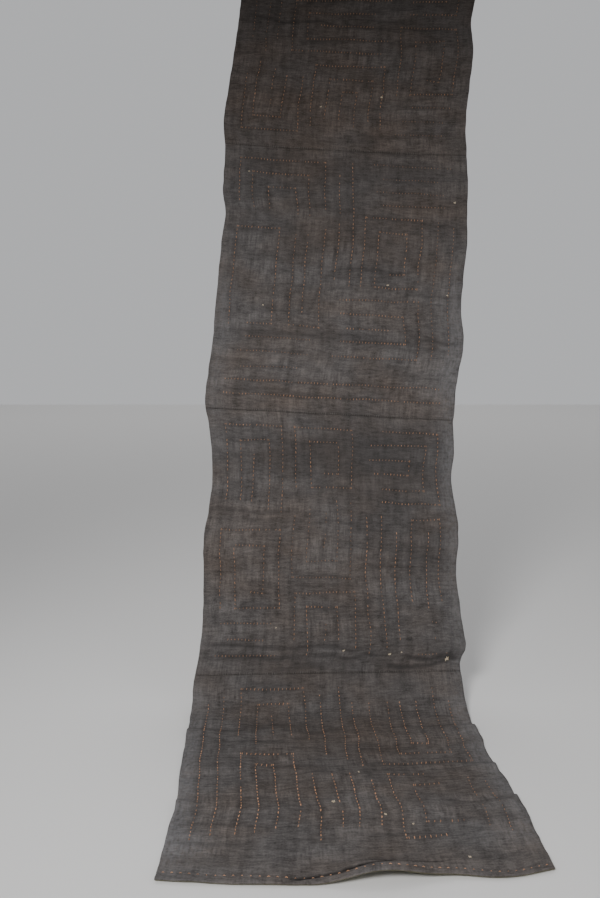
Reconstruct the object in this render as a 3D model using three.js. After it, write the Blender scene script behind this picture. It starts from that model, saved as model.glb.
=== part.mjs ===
// A long raffia wrapper cloth, hung by its top edge, with its foot bent forward along a floor.
// Four woven panels are lapped and sewn end to end, and both ends are turned in as hems.
// Millimetres, +Z up. Seen from the front, +X is to the right and +Y leads away, behind the cloth.
import * as THREE from 'three';

// Driving dimensions
const THICKNESS = 2.0;
const LAP = 12;
const LAP_GAP = 0.4;
const LAP_RAMP = 16;
const HEM_DEPTH = 22;
const HEM_GAP = 0.6;
const HEM_RAMP = 18;
const HEM_CLEARANCE = 3;
const LEAN = THREE.MathUtils.degToRad(12.3);
const COLUMNS = 18;
const ROW_PITCH = 36;
const CLOSEST_ROWS = 6;

// The cloth's run seen from its side, from the top edge down to the front hem.
// A turn is the angle in degrees that the cloth bends forward along that stretch.
const RUN = [
  { name: 'hang', length: 1840, turn: 0, rows: 0 },
  { name: 'sweep', length: 100, turn: 13.7, rows: 4 },
  { name: 'knee', length: 185, turn: 64, rows: 12 },
  { name: 'floor', length: 445, turn: 0, rows: 0 },
];

// Panels in order, each from the seam above it to the seam or edge at its end.
const PANELS = [
  { name: 'panel_top', start: 0, end: 660, colour: 0x544a45 },
  { name: 'panel_upper', start: 660, end: 1349, colour: 0x544f4d },
  { name: 'panel_lower', start: 1349, end: 1968, colour: 0x555150 },
  { name: 'panel_foot', start: 1968, end: 2570, colour: 0x565150 },
];

// How far each seam or edge runs down past its station, at the left, the middle and the right.
const SLANTS = [
  { at: 0, left: 0, middle: 0, right: 0 },
  { at: 660, left: -12, middle: 8, right: 20 },
  { at: 1349, left: -16, middle: 0, right: 16 },
  { at: 1968, left: 6, middle: 0, right: -5 },
  { at: 2570, left: 6, middle: 13, right: -18 },
];

// The front edge's own waves on that slant, across the width from -1 at the left to 1 at the right.
const FRONT_WAVE_LENGTH = 90;
const FRONT_WAVES = [
  { at: -1, down: 0 },
  { at: 0.2, down: 0 },
  { at: 0.48, down: -5 },
  { at: 0.75, down: 6 },
  { at: 1, down: 0 },
];

// The two wavy side edges, measured sideways from a plumb line in front of the cloth.
const EDGES = [
  { at: 0, left: -139, right: 481 },
  { at: 250, left: -155, right: 459 },
  { at: 310, left: -160, right: 447 },
  { at: 400, left: -171, right: 450 },
  { at: 480, left: -182, right: 439 },
  { at: 585, left: -196, right: 427 },
  { at: 665, left: -192, right: 426 },
  { at: 772, left: -196, right: 428 },
  { at: 835, left: -190, right: 425 },
  { at: 930, left: -200, right: 421 },
  { at: 985, left: -204, right: 413 },
  { at: 1085, left: -212, right: 403 },
  { at: 1165, left: -217, right: 408 },
  { at: 1263, left: -230, right: 389 },
  { at: 1325, left: -234, right: 381 },
  { at: 1365, left: -226, right: 377 },
  { at: 1437, left: -216, right: 377 },
  { at: 1510, left: -214, right: 368 },
  { at: 1584, left: -222, right: 379 },
  { at: 1640, left: -232, right: 384 },
  { at: 1728, left: -233, right: 376 },
  { at: 1822, left: -232, right: 384 },
  { at: 1912, left: -237, right: 392 },
  { at: 1944, left: -242, right: 377 },
  { at: 1985, left: -247, right: 378 },
  { at: 2110, left: -243, right: 378 },
  { at: 2164, left: -242, right: 386 },
  { at: 2203, left: -238, right: 381 },
  { at: 2275, left: -234, right: 386 },
  { at: 2305, left: -231, right: 394 },
  { at: 2371, left: -223, right: 395 },
  { at: 2400, left: -222, right: 401 },
  { at: 2454, left: -224, right: 398 },
  { at: 2570, left: -222, right: 397 },
];

// Creases and ridges across the cloth: how far each stands out at the left, middle and right,
// and its half width. From and to limit a fold to part of the width, -1 being the left edge.
const FOLDS = [
  { at: 308, reach: 26, left: -4, middle: -2, right: 0 },
  { at: 470, reach: 150, left: 4, middle: -3, right: 4 },
  { at: 640, reach: 24, left: 2, middle: 3, right: 3 },
  { at: 820, reach: 120, left: -3, middle: 4, right: -3 },
  { at: 992, reach: 20, left: 0, middle: -2.5, right: -4 },
  { at: 1155, reach: 26, left: -3, middle: 2.5, right: -4 },
  { at: 1330, reach: 22, left: 4, middle: 3, right: 4 },
  { at: 1480, reach: 110, left: 3, middle: -4, right: 5 },
  { at: 1600, reach: 24, left: -4, middle: -2.5, right: 1 },
  { at: 1752, reach: 90, left: -2, middle: 4, right: -3 },
  { at: 1903, reach: 20, left: 3, middle: 5, right: 10 },
  { at: 1931, reach: 14, left: -3, middle: -5, right: -8 },
  { at: 2135, reach: 24, left: 6, middle: 8, right: 10 },
  { at: 2277, reach: 20, left: 0, middle: 5, right: 8 },
  { at: 2386, reach: 20, left: 8, middle: 4, right: 7 },
  { at: 2560, reach: 66, left: 12, middle: 12, right: 12, from: 0.0, to: 0.46 },
];

// The round of a turned edge from its face ply to its turned ply, as shares of the thickness.
// Insets are measured in from the edge and heights from the face ply's back.
const TURN = [
  { outerInset: 0.6, outerHeight: 1.0, innerInset: 1.4, innerHeight: 0.0 },
  { outerInset: 0.0, outerHeight: 0.35, innerInset: 1.1, innerHeight: -0.08 },
  { outerInset: 0.0, outerHeight: -0.65, innerInset: 1.1, innerHeight: -0.22 },
  { outerInset: 0.6, outerHeight: -1.3, innerInset: 1.4, innerHeight: -0.3 },
];

const CLOTH_LENGTH = PANELS[PANELS.length - 1].end;
const HEM_LIFT = THICKNESS + HEM_GAP;

// A smooth curve through one column of a table, at the given station.
function along(table, column, at) {
  const last = table.length - 1;
  const inside = Math.min(Math.max(at, table[0].at), table[last].at);
  let row = 0;
  while (row < last - 1 && table[row + 1].at < inside) {
    row += 1;
  }
  const step = table[row + 1].at - table[row].at;
  const slope = (i) => {
    const before = Math.max(i - 1, 0);
    const after = Math.min(i + 1, last);
    return (table[after][column] - table[before][column]) / (table[after].at - table[before].at);
  };
  const t = (inside - table[row].at) / step;
  const fromStart = (1 + 2 * t) * (1 - t) ** 2 * table[row][column];
  const fromEnd = t ** 2 * (3 - 2 * t) * table[row + 1][column];
  const bends = t * (1 - t) ** 2 * slope(row) - t ** 2 * (1 - t) * slope(row + 1);
  return fromStart + fromEnd + bends * step;
}

// A parabola across the cloth through its left, middle and right values; u runs from -1 to 1.
function across({ left, middle, right }, u) {
  return middle + ((right - left) / 2) * u + ((right + left) / 2 - middle) * u ** 2;
}

// The slant of a row line: an even blend from one seam to the next, and the front edge's waves.
function slantAt(v, u) {
  const inside = Math.min(Math.max(v, 0), CLOTH_LENGTH);
  const row = SLANTS.findIndex((slant) => slant.at >= inside);
  const after = SLANTS[Math.max(row, 1)];
  const before = SLANTS[Math.max(row, 1) - 1];
  const share = (inside - before.at) / (after.at - before.at);
  const slant = THREE.MathUtils.lerp(across(before, u), across(after, u), share);
  const nearFront = THREE.MathUtils.smoothstep(v, CLOTH_LENGTH - FRONT_WAVE_LENGTH, CLOTH_LENGTH);
  return slant + along(FRONT_WAVES, 'down', u) * nearFront;
}

// The side view of the run: its place (y, z) and its angle from the vertical at length s.
function walk(s) {
  let angle = LEAN;
  let y = 0;
  let z = 0;
  let left = s;
  for (const stretch of RUN) {
    const isLast = stretch === RUN[RUN.length - 1];
    const length = isLast ? left : Math.min(left, stretch.length);
    const turn = THREE.MathUtils.degToRad(stretch.turn) * (length / stretch.length);
    if (turn === 0) {
      y -= Math.sin(angle) * length;
      z -= Math.cos(angle) * length;
    } else {
      const radius = length / turn;
      y -= radius * (Math.cos(angle) - Math.cos(angle + turn));
      z -= radius * (Math.sin(angle + turn) - Math.sin(angle));
    }
    angle += turn;
    left -= length;
    if (left <= 0) {
      break;
    }
  }
  return { y, z, angle };
}

const FRONT = walk(CLOTH_LENGTH);

// How far the folds stand out of the plain run at station v, and u across it.
function foldHeight(v, u) {
  let height = 0;
  for (const fold of FOLDS) {
    const off = Math.abs(v - fold.at) / fold.reach;
    if (off >= 1) {
      continue;
    }
    const from = fold.from ?? -2;
    const to = fold.to ?? 2;
    const inSpan = Math.sin(Math.PI * THREE.MathUtils.clamp((u - from) / (to - from), 0, 1)) ** 2;
    const share = fold.from === undefined ? 1 : inSpan;
    height += across(fold, u) * share * Math.cos((Math.PI / 2) * off) ** 2;
  }
  return height;
}

// A point of the cloth: v down its length, u across it, height out of its back face.
function clothPoint(v, u, height) {
  const s = v + slantAt(v, u);
  const { y, z, angle } = walk(s);
  const left = along(EDGES, 'left', s);
  const right = along(EDGES, 'right', s);
  const x = THREE.MathUtils.lerp(left, right, (u + 1) / 2);
  const out = height + foldHeight(v, u);
  return new THREE.Vector3(
    x,
    y - FRONT.y - Math.cos(angle) * out,
    z - FRONT.z + Math.sin(angle) * out,
  );
}

// Stations that the whole cloth shares, so that lapped panels have the same facets.
function rowStations() {
  const wanted = PANELS.flatMap(({ start }) => [start - LAP, start, start + LAP_RAMP]);
  wanted.push(CLOTH_LENGTH - HEM_DEPTH - HEM_CLEARANCE - HEM_RAMP);
  for (const { at, reach } of FOLDS) {
    wanted.push(at, at - reach / 2, at + reach / 2, at - reach, at + reach);
  }
  let stretchStart = 0;
  for (const { length, rows } of RUN) {
    for (let i = 0; i <= rows; i += 1) {
      wanted.push(stretchStart + (length * i) / Math.max(rows, 1));
    }
    stretchStart += length;
  }
  const stations = [];
  const addIfClear = (v, clearance) => {
    if (stations.every((other) => Math.abs(other - v) >= clearance)) {
      stations.push(v);
    }
  };
  wanted.forEach((v) => addIfClear(v, CLOSEST_ROWS));
  for (let v = 0; v < CLOTH_LENGTH; v += ROW_PITCH / 2) {
    addIfClear(v, ROW_PITCH / 2);
  }
  return stations.sort((a, b) => a - b);
}

const STATIONS = rowStations();

// The two faces of the cloth at one station: the outer one is its front or the outside of a hem.
function plainStation(v, base) {
  return { outer: { v, height: base + THICKNESS }, inner: { v, height: base } };
}

// The turned edge of a hem, from its face ply round to the end of its turned ply.
function turnedEdge(edge, inwards, base) {
  const round = TURN.map(({ outerInset, outerHeight, innerInset, innerHeight }) => ({
    outer: { v: edge + inwards * outerInset * THICKNESS, height: base + outerHeight * THICKNESS },
    inner: { v: edge + inwards * innerInset * THICKNESS, height: base + innerHeight * THICKNESS },
  }));
  const end = edge + inwards * HEM_DEPTH;
  round.push({
    outer: { v: end, height: base - HEM_GAP - THICKNESS },
    inner: { v: end, height: base - HEM_GAP },
  });
  return round;
}

// How far a panel's back lies from the plain run: tucked behind the panel above it at its start,
// and raised over the turned ply at the front hem.
function baseHeight({ start, end }, v) {
  const tucked = start > 0 ? -(THICKNESS + LAP_GAP) : 0;
  const behind = tucked * (1 - THREE.MathUtils.smoothstep(v, start, start + LAP_RAMP));
  const rampEnd = CLOTH_LENGTH - HEM_DEPTH - HEM_CLEARANCE;
  const overHem = end === CLOTH_LENGTH ? THREE.MathUtils.smoothstep(v, rampEnd - HEM_RAMP, rampEnd) : 0;
  return behind + HEM_LIFT * overHem;
}

// A panel's section along its length, from its top edge to its lower edge.
function panelSection(panel) {
  const first = panel.start === 0 ? HEM_DEPTH : panel.start - LAP;
  const isFoot = panel.end === CLOTH_LENGTH;
  const last = isFoot ? panel.end - HEM_DEPTH - HEM_CLEARANCE : panel.end;
  const inside = STATIONS.filter((v) => v > first + 1 && v < last - 1);
  const section = [first, ...inside, last].map((v) => plainStation(v, baseHeight(panel, v)));
  if (panel.start === 0) {
    section.unshift(...turnedEdge(0, 1, 0).reverse());
  }
  if (isFoot) {
    section.push(plainStation(panel.end - HEM_DEPTH, HEM_LIFT));
    section.push(...turnedEdge(panel.end, -1, HEM_LIFT));
  }
  return section;
}

// A closed body that follows a section of outer and inner points across the cloth's width.
function sheetGeometry(section) {
  const positions = [];
  const index = [];
  const layer = section.length * (COLUMNS + 1);
  for (const side of ['outer', 'inner']) {
    for (const station of section) {
      for (let column = 0; column <= COLUMNS; column += 1) {
        const { v, height } = station[side];
        positions.push(...clothPoint(v, (2 * column) / COLUMNS - 1, height));
      }
    }
  }
  const outer = (row, column) => row * (COLUMNS + 1) + column;
  const inner = (row, column) => layer + outer(row, column);
  const quad = (a, b, c, d) => index.push(a, c, b, b, c, d);
  const last = section.length - 1;
  for (let row = 0; row < last; row += 1) {
    for (let column = 0; column < COLUMNS; column += 1) {
      const corners = [[row, column], [row, column + 1], [row + 1, column], [row + 1, column + 1]];
      const [a, b, c, d] = corners.map((corner) => outer(...corner));
      quad(a, b, c, d);
      index.push(a + layer, b + layer, c + layer, b + layer, d + layer, c + layer);
    }
    quad(inner(row, 0), outer(row, 0), inner(row + 1, 0), outer(row + 1, 0));
    quad(outer(row, COLUMNS), inner(row, COLUMNS), outer(row + 1, COLUMNS), inner(row + 1, COLUMNS));
  }
  for (let column = 0; column < COLUMNS; column += 1) {
    quad(inner(0, column), inner(0, column + 1), outer(0, column), outer(0, column + 1));
    quad(outer(last, column), outer(last, column + 1), inner(last, column), inner(last, column + 1));
  }
  const geometry = new THREE.BufferGeometry();
  geometry.setAttribute('position', new THREE.Float32BufferAttribute(positions, 3));
  geometry.setIndex(index);
  geometry.computeVertexNormals();
  return geometry;
}

function panelMesh(panel) {
  const material = new THREE.MeshStandardMaterial({
    color: panel.colour,
    roughness: 0.92,
    metalness: 0,
    side: THREE.DoubleSide,
  });
  const mesh = new THREE.Mesh(sheetGeometry(panelSection(panel)), material);
  mesh.name = panel.name;
  return mesh;
}

const cloth = new THREE.Group();
PANELS.forEach((panel) => cloth.add(panelMesh(panel)));

// The origin is under the middle of the whole cloth, on the floor that its foot lies on.
const extent = new THREE.Box3().setFromObject(cloth);
const middle = extent.getCenter(new THREE.Vector3());
cloth.position.set(-middle.x, -middle.y, -extent.min.z);

export default cloth;
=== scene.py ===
"""A long raffia cloth of four sewn panels, with its maze of running stitches, dressed for the camera.

The cloth hangs by its top edge and its foot runs forward along a floor. Its shape follows the same
sizes as the CAD part, worked out in millimetres, and every mesh is written in metres.
"""

import logging
import math
from dataclasses import dataclass
from enum import Enum
from typing import Any, Iterable, Sequence

import bpy
import numpy as np
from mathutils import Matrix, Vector


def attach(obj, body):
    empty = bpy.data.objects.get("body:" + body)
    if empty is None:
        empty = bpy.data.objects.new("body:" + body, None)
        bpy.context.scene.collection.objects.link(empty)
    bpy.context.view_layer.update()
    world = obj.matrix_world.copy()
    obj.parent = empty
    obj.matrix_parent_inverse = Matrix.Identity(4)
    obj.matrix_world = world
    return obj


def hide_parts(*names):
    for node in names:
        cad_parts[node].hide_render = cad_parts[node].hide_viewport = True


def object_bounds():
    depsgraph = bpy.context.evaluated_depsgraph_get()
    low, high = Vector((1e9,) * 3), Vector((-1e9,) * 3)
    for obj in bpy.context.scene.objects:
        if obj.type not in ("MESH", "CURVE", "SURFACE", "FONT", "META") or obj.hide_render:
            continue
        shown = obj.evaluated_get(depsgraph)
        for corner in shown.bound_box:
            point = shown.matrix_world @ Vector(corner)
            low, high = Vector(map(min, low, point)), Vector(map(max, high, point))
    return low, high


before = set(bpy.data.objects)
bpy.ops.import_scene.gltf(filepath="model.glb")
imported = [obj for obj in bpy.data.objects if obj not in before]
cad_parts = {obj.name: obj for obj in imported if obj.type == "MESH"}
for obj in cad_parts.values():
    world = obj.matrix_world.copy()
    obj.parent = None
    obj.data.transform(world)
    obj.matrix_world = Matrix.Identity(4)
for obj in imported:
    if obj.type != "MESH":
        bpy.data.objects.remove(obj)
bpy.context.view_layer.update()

LOG = logging.getLogger("cloth")
Array = np.ndarray
Colour = tuple[float, float, float, float]
Corners = list[tuple[float, float]]

# Driving dimensions, in millimetres, as in the CAD part but for HEM_RAMP, which is shorter there.
MM = 0.001
WIDTH = 620.0
THICKNESS = 2.0
LAP = 12.0
LAP_GAP = 0.4
LAP_RAMP = 16.0
HEM_DEPTH = 22.0
HEM_GAP = 0.6
HEM_RAMP = 46.0
HEM_CLEARANCE = 3.0
HEM_LIFT = THICKNESS + HEM_GAP
LEAN = math.radians(12.3)
FRONT_WAVE_LENGTH = 90.0

# What puts the origin under the middle of the CAD part's bounding box.
FRAME_SHIFT = (-116.993, -502.703, 0.0)

# How finely the sheets are drawn, in millimetres between rows and columns of vertices.
ROW_STEP = 4.2
COLUMN_STEP = 4.2
TURN_STEPS = 7
TURNED_ROWS = 5

# A hem's turned edge: its outer and inner radius beside the cloth's thickness.
OUTER_TURN = 1.15
INNER_TURN = 0.15

# The lattice on which the stitch maze is laid out: its pitch both ways and its first column.
LATTICE_PITCH = 36.0
FIRST_COLUMN = 40.0


@dataclass(frozen=True)
class Stretch:
    """One stretch of the cloth's side view, bending forward by turn degrees along its length."""

    length: float
    turn: float


@dataclass(frozen=True)
class Across:
    """A size that changes across the cloth, given at its left edge, middle and right edge."""

    left: float
    middle: float
    right: float

    def at(self, u: Array) -> Array:
        """The parabola through the three sizes, for u from -1 at the left to 1 at the right."""
        tilt = (self.right - self.left) / 2
        bow = (self.right + self.left) / 2 - self.middle
        return self.middle + tilt * u + bow * u**2


@dataclass(frozen=True)
class Slant:
    """How far a seam or an end runs down past its station."""

    at: float
    down: Across


@dataclass(frozen=True)
class Edge:
    """Where the two side edges are at one station, measured sideways from a plumb line."""

    at: float
    left: float
    right: float


@dataclass(frozen=True)
class Fold:
    """A crease or ridge across the cloth, how far it stands out, and the part of the width it takes."""

    at: float
    reach: float
    out: Across
    start: float = -1.0
    end: float = 1.0

    def height(self, v: Array, u: Array) -> Array:
        """How far the fold stands out at each place.

        Args:
            v: Stations down the cloth.
            u: Places across the cloth, from -1 to 1.

        Returns:
            Heights in millimetres, nothing beyond the fold's reach.
        """
        off = np.clip(np.abs(v - self.at) / self.reach, 0, 1)
        profile = np.cos(math.pi / 2 * off) ** 2
        if (self.start, self.end) == (-1.0, 1.0):
            return self.out.at(u) * profile
        share = np.clip((u - self.start) / (self.end - self.start), 0, 1)
        return self.out.at(u) * profile * np.sin(math.pi * share) ** 2


@dataclass(frozen=True)
class PanelSpan:
    """One woven panel, from the seam above it to the seam or edge at its end."""

    name: str
    start: float
    end: float
    slot: str


@dataclass(frozen=True)
class Crinkle:
    """One size of small waves over the cloth: its cells down and across, and its height."""

    seed: int
    down: float
    across: float
    height: float


@dataclass(frozen=True)
class Crease:
    """A narrow crease that runs across part of the cloth and wanders a little on its way."""

    v: float
    start: float
    end: float
    depth: float
    slope: float = 0.0


@dataclass(frozen=True)
class Patch:
    """A soft-edged patch of a tint, with its middle, its half sizes and its strength."""

    x: float
    v: float
    half_width: float
    half_height: float
    strength: float


RUN = (
    Stretch(1840, 0),
    Stretch(100, 13.7),
    Stretch(185, 64),
    Stretch(445, 0),
)

PANELS = (
    PanelSpan("panel_top", 0, 660, "raffia_brown"),
    PanelSpan("panel_upper", 660, 1349, "raffia_grey"),
    PanelSpan("panel_lower", 1349, 1968, "raffia_grey"),
    PanelSpan("panel_foot", 1968, 2570, "raffia_grey"),
)
CLOTH_LENGTH = PANELS[-1].end

SLANTS = (
    Slant(0, Across(0, 0, 0)),
    Slant(660, Across(-12, 8, 20)),
    Slant(1349, Across(-16, 0, 16)),
    Slant(1968, Across(6, 0, -5)),
    Slant(2570, Across(6, 13, -18)),
)

# The front edge's waves on its slant: the place across, and how far it is down.
FRONT_WAVES = (
    (-1.0, 0.0),
    (0.2, 0.0),
    (0.48, -5.0),
    (0.75, 6.0),
    (1.0, 0.0),
)

EDGES = (
    Edge(0, -139, 481),
    Edge(250, -155, 459),
    Edge(310, -160, 447),
    Edge(400, -171, 450),
    Edge(480, -182, 439),
    Edge(585, -196, 427),
    Edge(665, -192, 426),
    Edge(772, -196, 428),
    Edge(835, -190, 425),
    Edge(930, -200, 421),
    Edge(985, -204, 413),
    Edge(1085, -212, 403),
    Edge(1165, -217, 408),
    Edge(1263, -230, 389),
    Edge(1325, -234, 381),
    Edge(1365, -226, 377),
    Edge(1437, -216, 377),
    Edge(1510, -214, 368),
    Edge(1584, -222, 379),
    Edge(1640, -232, 384),
    Edge(1728, -233, 376),
    Edge(1822, -232, 384),
    Edge(1912, -237, 392),
    Edge(1944, -242, 377),
    Edge(1985, -247, 378),
    Edge(2110, -243, 378),
    Edge(2164, -242, 386),
    Edge(2203, -238, 381),
    Edge(2275, -234, 386),
    Edge(2305, -231, 394),
    Edge(2371, -223, 395),
    Edge(2400, -222, 401),
    Edge(2454, -224, 398),
    Edge(2570, -222, 397),
)

FOLDS = (
    Fold(308, 26, Across(-4, -2, 0)),
    Fold(470, 150, Across(4, -3, 4)),
    Fold(640, 24, Across(2, 3, 3)),
    Fold(820, 120, Across(-3, 4, -3)),
    Fold(992, 20, Across(0, -2.5, -4)),
    Fold(1155, 26, Across(-3, 2.5, -4)),
    Fold(1330, 22, Across(4, 3, 4)),
    Fold(1480, 110, Across(3, -4, 5)),
    Fold(1600, 24, Across(-4, -2.5, 1)),
    Fold(1752, 90, Across(-2, 4, -3)),
    Fold(1903, 20, Across(3, 5, 10)),
    Fold(1931, 14, Across(-3, -5, -8)),
    Fold(2135, 24, Across(6, 8, 10)),
    Fold(2277, 20, Across(0, 5, 8)),
    Fold(2386, 20, Across(8, 4, 7)),
    Fold(2562, 60, Across(19, 19, 19), start=-0.22, end=0.5),
    Fold(2566, 34, Across(7, 7, 7), start=0.3, end=0.62),
)

CRINKLES = (
    Crinkle(seed=11, down=11, across=62, height=0.75),
    Crinkle(seed=12, down=19, across=110, height=1.0),
    Crinkle(seed=13, down=60, across=150, height=2.2),
    Crinkle(seed=14, down=80, across=30, height=0.6),
)
EDGE_WOBBLE = 0.9

# How far short of a grid's size its last place is, in cells.
GRID_END = 2.001

# Folds narrower than this wander up and down the cloth and fade here and there between its edges.
NARROW_FOLD = 40.0
FOLD_WANDER = 13.0
FOLD_FADE = 0.45
FOLD_UNEVENNESS = 0.25
FOLD_CELL = 85.0

# Where that dies out towards the side edges, as shares of half the width.
FOLD_EDGES = (0.72, 0.96)

# The foot's mean height over the floor, and the part of a point's own height that the floor leaves it.
FLOOR_SLACK = 2.0
SLACK_FROM = 2010.0
SLACK_TO = 2130.0
LEAST_HEIGHT_SHARE = 0.6

# How the sewing and the creases draw the cloth in, in millimetres.
PUCKER_DEPTH = 0.7
PUCKER_REACH = 5.5
CREASE_DEPTH = 1.0
CREASE_REACH = 4.6
CREASE_WOBBLE = 8.0
HEM_CREASE_WOBBLE = 2.0
MAP_CELL = 2.0

# The creases that show in the photo, by distance from the left edge and by station.
CREASES = (
    Crease(v=308, start=0, end=260, depth=2.4, slope=10),
    Crease(v=330, start=300, end=520, depth=1.4, slope=-6),
    Crease(v=842, start=330, end=620, depth=1.6, slope=16),
    Crease(v=978, start=330, end=480, depth=2.6, slope=12),
    Crease(v=1040, start=400, end=620, depth=1.6, slope=-6),
    Crease(v=1150, start=0, end=330, depth=1.4, slope=6),
    Crease(v=1156, start=340, end=620, depth=2.2, slope=-8),
    Crease(v=1172, start=380, end=600, depth=1.4, slope=4),
    Crease(v=1296, start=40, end=300, depth=1.6, slope=4),
    Crease(v=1592, start=0, end=230, depth=2.2, slope=2),
    Crease(v=1612, start=60, end=330, depth=1.6, slope=8),
    Crease(v=1700, start=350, end=620, depth=1.6, slope=-6),
    Crease(v=1900, start=20, end=190, depth=3.0, slope=3),
    Crease(v=1908, start=170, end=400, depth=2.6, slope=5),
    Crease(v=1926, start=60, end=240, depth=2.6, slope=4),
    Crease(v=1930, start=260, end=430, depth=3.0, slope=-4),
    Crease(v=1936, start=490, end=620, depth=4.4, slope=6),
    Crease(v=1952, start=440, end=600, depth=4.0, slope=-4),
    Crease(v=2117, start=0, end=130, depth=1.8, slope=12),
    Crease(v=2134, start=110, end=330, depth=1.4, slope=8),
    Crease(v=2258, start=330, end=620, depth=1.6, slope=8),
    Crease(v=2276, start=350, end=470, depth=1.2, slope=-4),
    Crease(v=2355, start=20, end=180, depth=1.2, slope=-6),
    Crease(v=2384, start=480, end=620, depth=1.4, slope=10),
    Crease(v=2430, start=10, end=200, depth=1.4, slope=8),
    Crease(v=2478, start=0, end=160, depth=1.6, slope=-4),
)

# The deep creases over the front hem, where it lifts and rolls.
HEM_CREASES = (
    Crease(v=2558, start=205, end=300, depth=3.2, slope=-5),
    Crease(v=2550, start=285, end=365, depth=5.4, slope=-8),
    Crease(v=2541, start=350, end=450, depth=5.0, slope=-4),
    Crease(v=2534, start=330, end=400, depth=3.0, slope=-14),
)
HEM_CREASE_REACH = 2.7

# The scatter of small creases: their number, and the ranges of their lengths, depths and tilts.
SMALL_CREASES = 190
SMALL_CREASE_SEED = 58
SMALL_CREASE_LENGTHS = (50, 190)
SMALL_CREASE_DEPTHS = (0.4, 1.5)
SMALL_CREASE_TILTS = (-7, 7)
SMALL_CREASE_STATIONS = (20, CLOTH_LENGTH - 40)
SMALL_CREASE_WOBBLE = 5.0

# Browner, darker and dustier patches. The dark ones were set by the mean tone of the photo's rows,
# over the whole width and by thirds. They are partly the cloth's own darker tone and partly painted
# shade: the wide one over the top stands in for the light falling off towards the top.
WARM_PATCHES = (
    Patch(420, 2180, 120, 130, 0.9),
    Patch(170, 1675, 180, 120, 0.6),
    Patch(440, 875, 170, 95, 0.7),
    Patch(300, 1300, 320, 50, 0.5),
    Patch(250, 560, 260, 90, 0.7),
    Patch(310, 690, 420, 45, 0.6),
    Patch(200, 350, 240, 120, 0.5),
)
DARK_AND_SHADE_PATCHES = (
    Patch(310, 170, 600, 170, 0.9),
    Patch(470, 1440, 200, 90, 0.9),
    Patch(200, 1450, 220, 60, 0.7),
    Patch(470, 1580, 180, 90, 0.6),
    Patch(300, 860, 400, 160, 0.45),
    Patch(150, 700, 200, 30, 0.4),
    Patch(420, 715, 160, 26, 0.5),
    Patch(540, 1690, 90, 60, 0.55),
    Patch(300, 1960, 400, 50, 0.55),
    Patch(250, 2100, 200, 60, 0.35),
    Patch(330, 2250, 150, 60, 0.3),
    Patch(120, 2210, 110, 50, 0.3),
    Patch(300, 1150, 400, 14, 0.5),
)
DUST_PATCHES = (
    Patch(6, 2300, 26, 260, 0.7),
    Patch(22, 2490, 60, 40, 0.6),
    Patch(614, 1500, 34, 330, 0.5),
    Patch(614, 2200, 30, 320, 0.5),
    Patch(596, 1120, 34, 180, 0.45),
    Patch(20, 1180, 24, 260, 0.35),
    Patch(560, 2470, 70, 30, 0.3),
)


class Show(Enum):
    """How strongly a line of stitches shows, beside a stitch of full size and tone."""

    BRIGHT = 1.05
    PLAIN = 0.88
    FAINT = 0.7


class Way(Enum):
    """Which way a stretch of stitches runs."""

    DOWN = "down"
    ACROSS = "across"


class Motif(Enum):
    """What a block of the maze is sewn as."""

    OPENS_DOWN = "nested brackets, open below"
    OPENS_UP = "nested brackets, open above"
    OPENS_RIGHT = "nested brackets, open to the right"
    OPENS_LEFT = "nested brackets, open to the left"
    KEY = "a square spiral that winds inwards"
    UPRIGHTS = "lines down the cloth"
    RUNGS = "lines across the cloth"


@dataclass(frozen=True)
class Block:
    """A block of the maze in whole cells: its first column and row, its size and its motif."""

    column: int
    row: int
    width: int
    height: int
    motif: Motif
    show: Show = Show.PLAIN

    def lines(self, random: np.random.Generator) -> list[Corners]:
        """The block's lines.

        Args:
            random: Draws how far each free end stops short.

        Returns:
            Each line's corners as (column, row) on the lattice.
        """
        right = self.column + self.width
        bottom = self.row + self.height
        if self.motif is Motif.KEY:
            return [self._key()]
        if self.motif is Motif.UPRIGHTS:
            return [
                [(column, self.row + self._stop(random)), (column, bottom - self._stop(random))]
                for column in range(self.column, right + 1)
            ]
        if self.motif is Motif.RUNGS:
            return [
                [(self.column + self._stop(random), row), (right - self._stop(random), row)]
                for row in range(self.row, bottom + 1)
            ]
        return [[self._turned(*corner) for corner in bracket] for bracket in self._brackets(random)]

    @staticmethod
    def _stop(random: np.random.Generator) -> float:
        """How far a free end stops short of its block's side: none, half a cell or a cell."""
        return random.integers(0, 3) / 2

    def _brackets(self, random: np.random.Generator) -> list[Corners]:
        """Nested brackets as (across the opening, towards it), the outermost first."""
        lies = self.motif in (Motif.OPENS_LEFT, Motif.OPENS_RIGHT)
        across, deep = (self.height, self.width) if lies else (self.width, self.height)
        brackets = []
        for ring in range(min(across // 2 + 1, deep - 1)):
            legs = (deep - self._stop(random), deep - self._stop(random))
            bracket = [(ring, legs[0]), (ring, ring)]
            if across > 2 * ring:
                bracket += [(across - ring, ring), (across - ring, legs[1])]
            brackets.append(bracket)
        return brackets

    def _turned(self, across: float, deep: float) -> tuple[float, float]:
        """A bracket's corner as (column, row), turned to face the block's opening."""
        if self.motif is Motif.OPENS_DOWN:
            return self.column + across, self.row + deep
        if self.motif is Motif.OPENS_UP:
            return self.column + across, self.row + self.height - deep
        if self.motif is Motif.OPENS_RIGHT:
            return self.column + deep, self.row + across
        return self.column + self.width - deep, self.row + across

    def _key(self) -> Corners:
        """A square spiral from the block's lower left corner."""
        corners = [(self.column, self.row + self.height)]
        for ring in range(min(self.width, self.height) // 2):
            left = self.column + ring
            top = self.row + ring
            right = self.column + self.width - ring
            bottom = self.row + self.height - ring
            corners += [(left, top), (right, top), (right, bottom), (left + 1, bottom)]
        return corners


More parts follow.
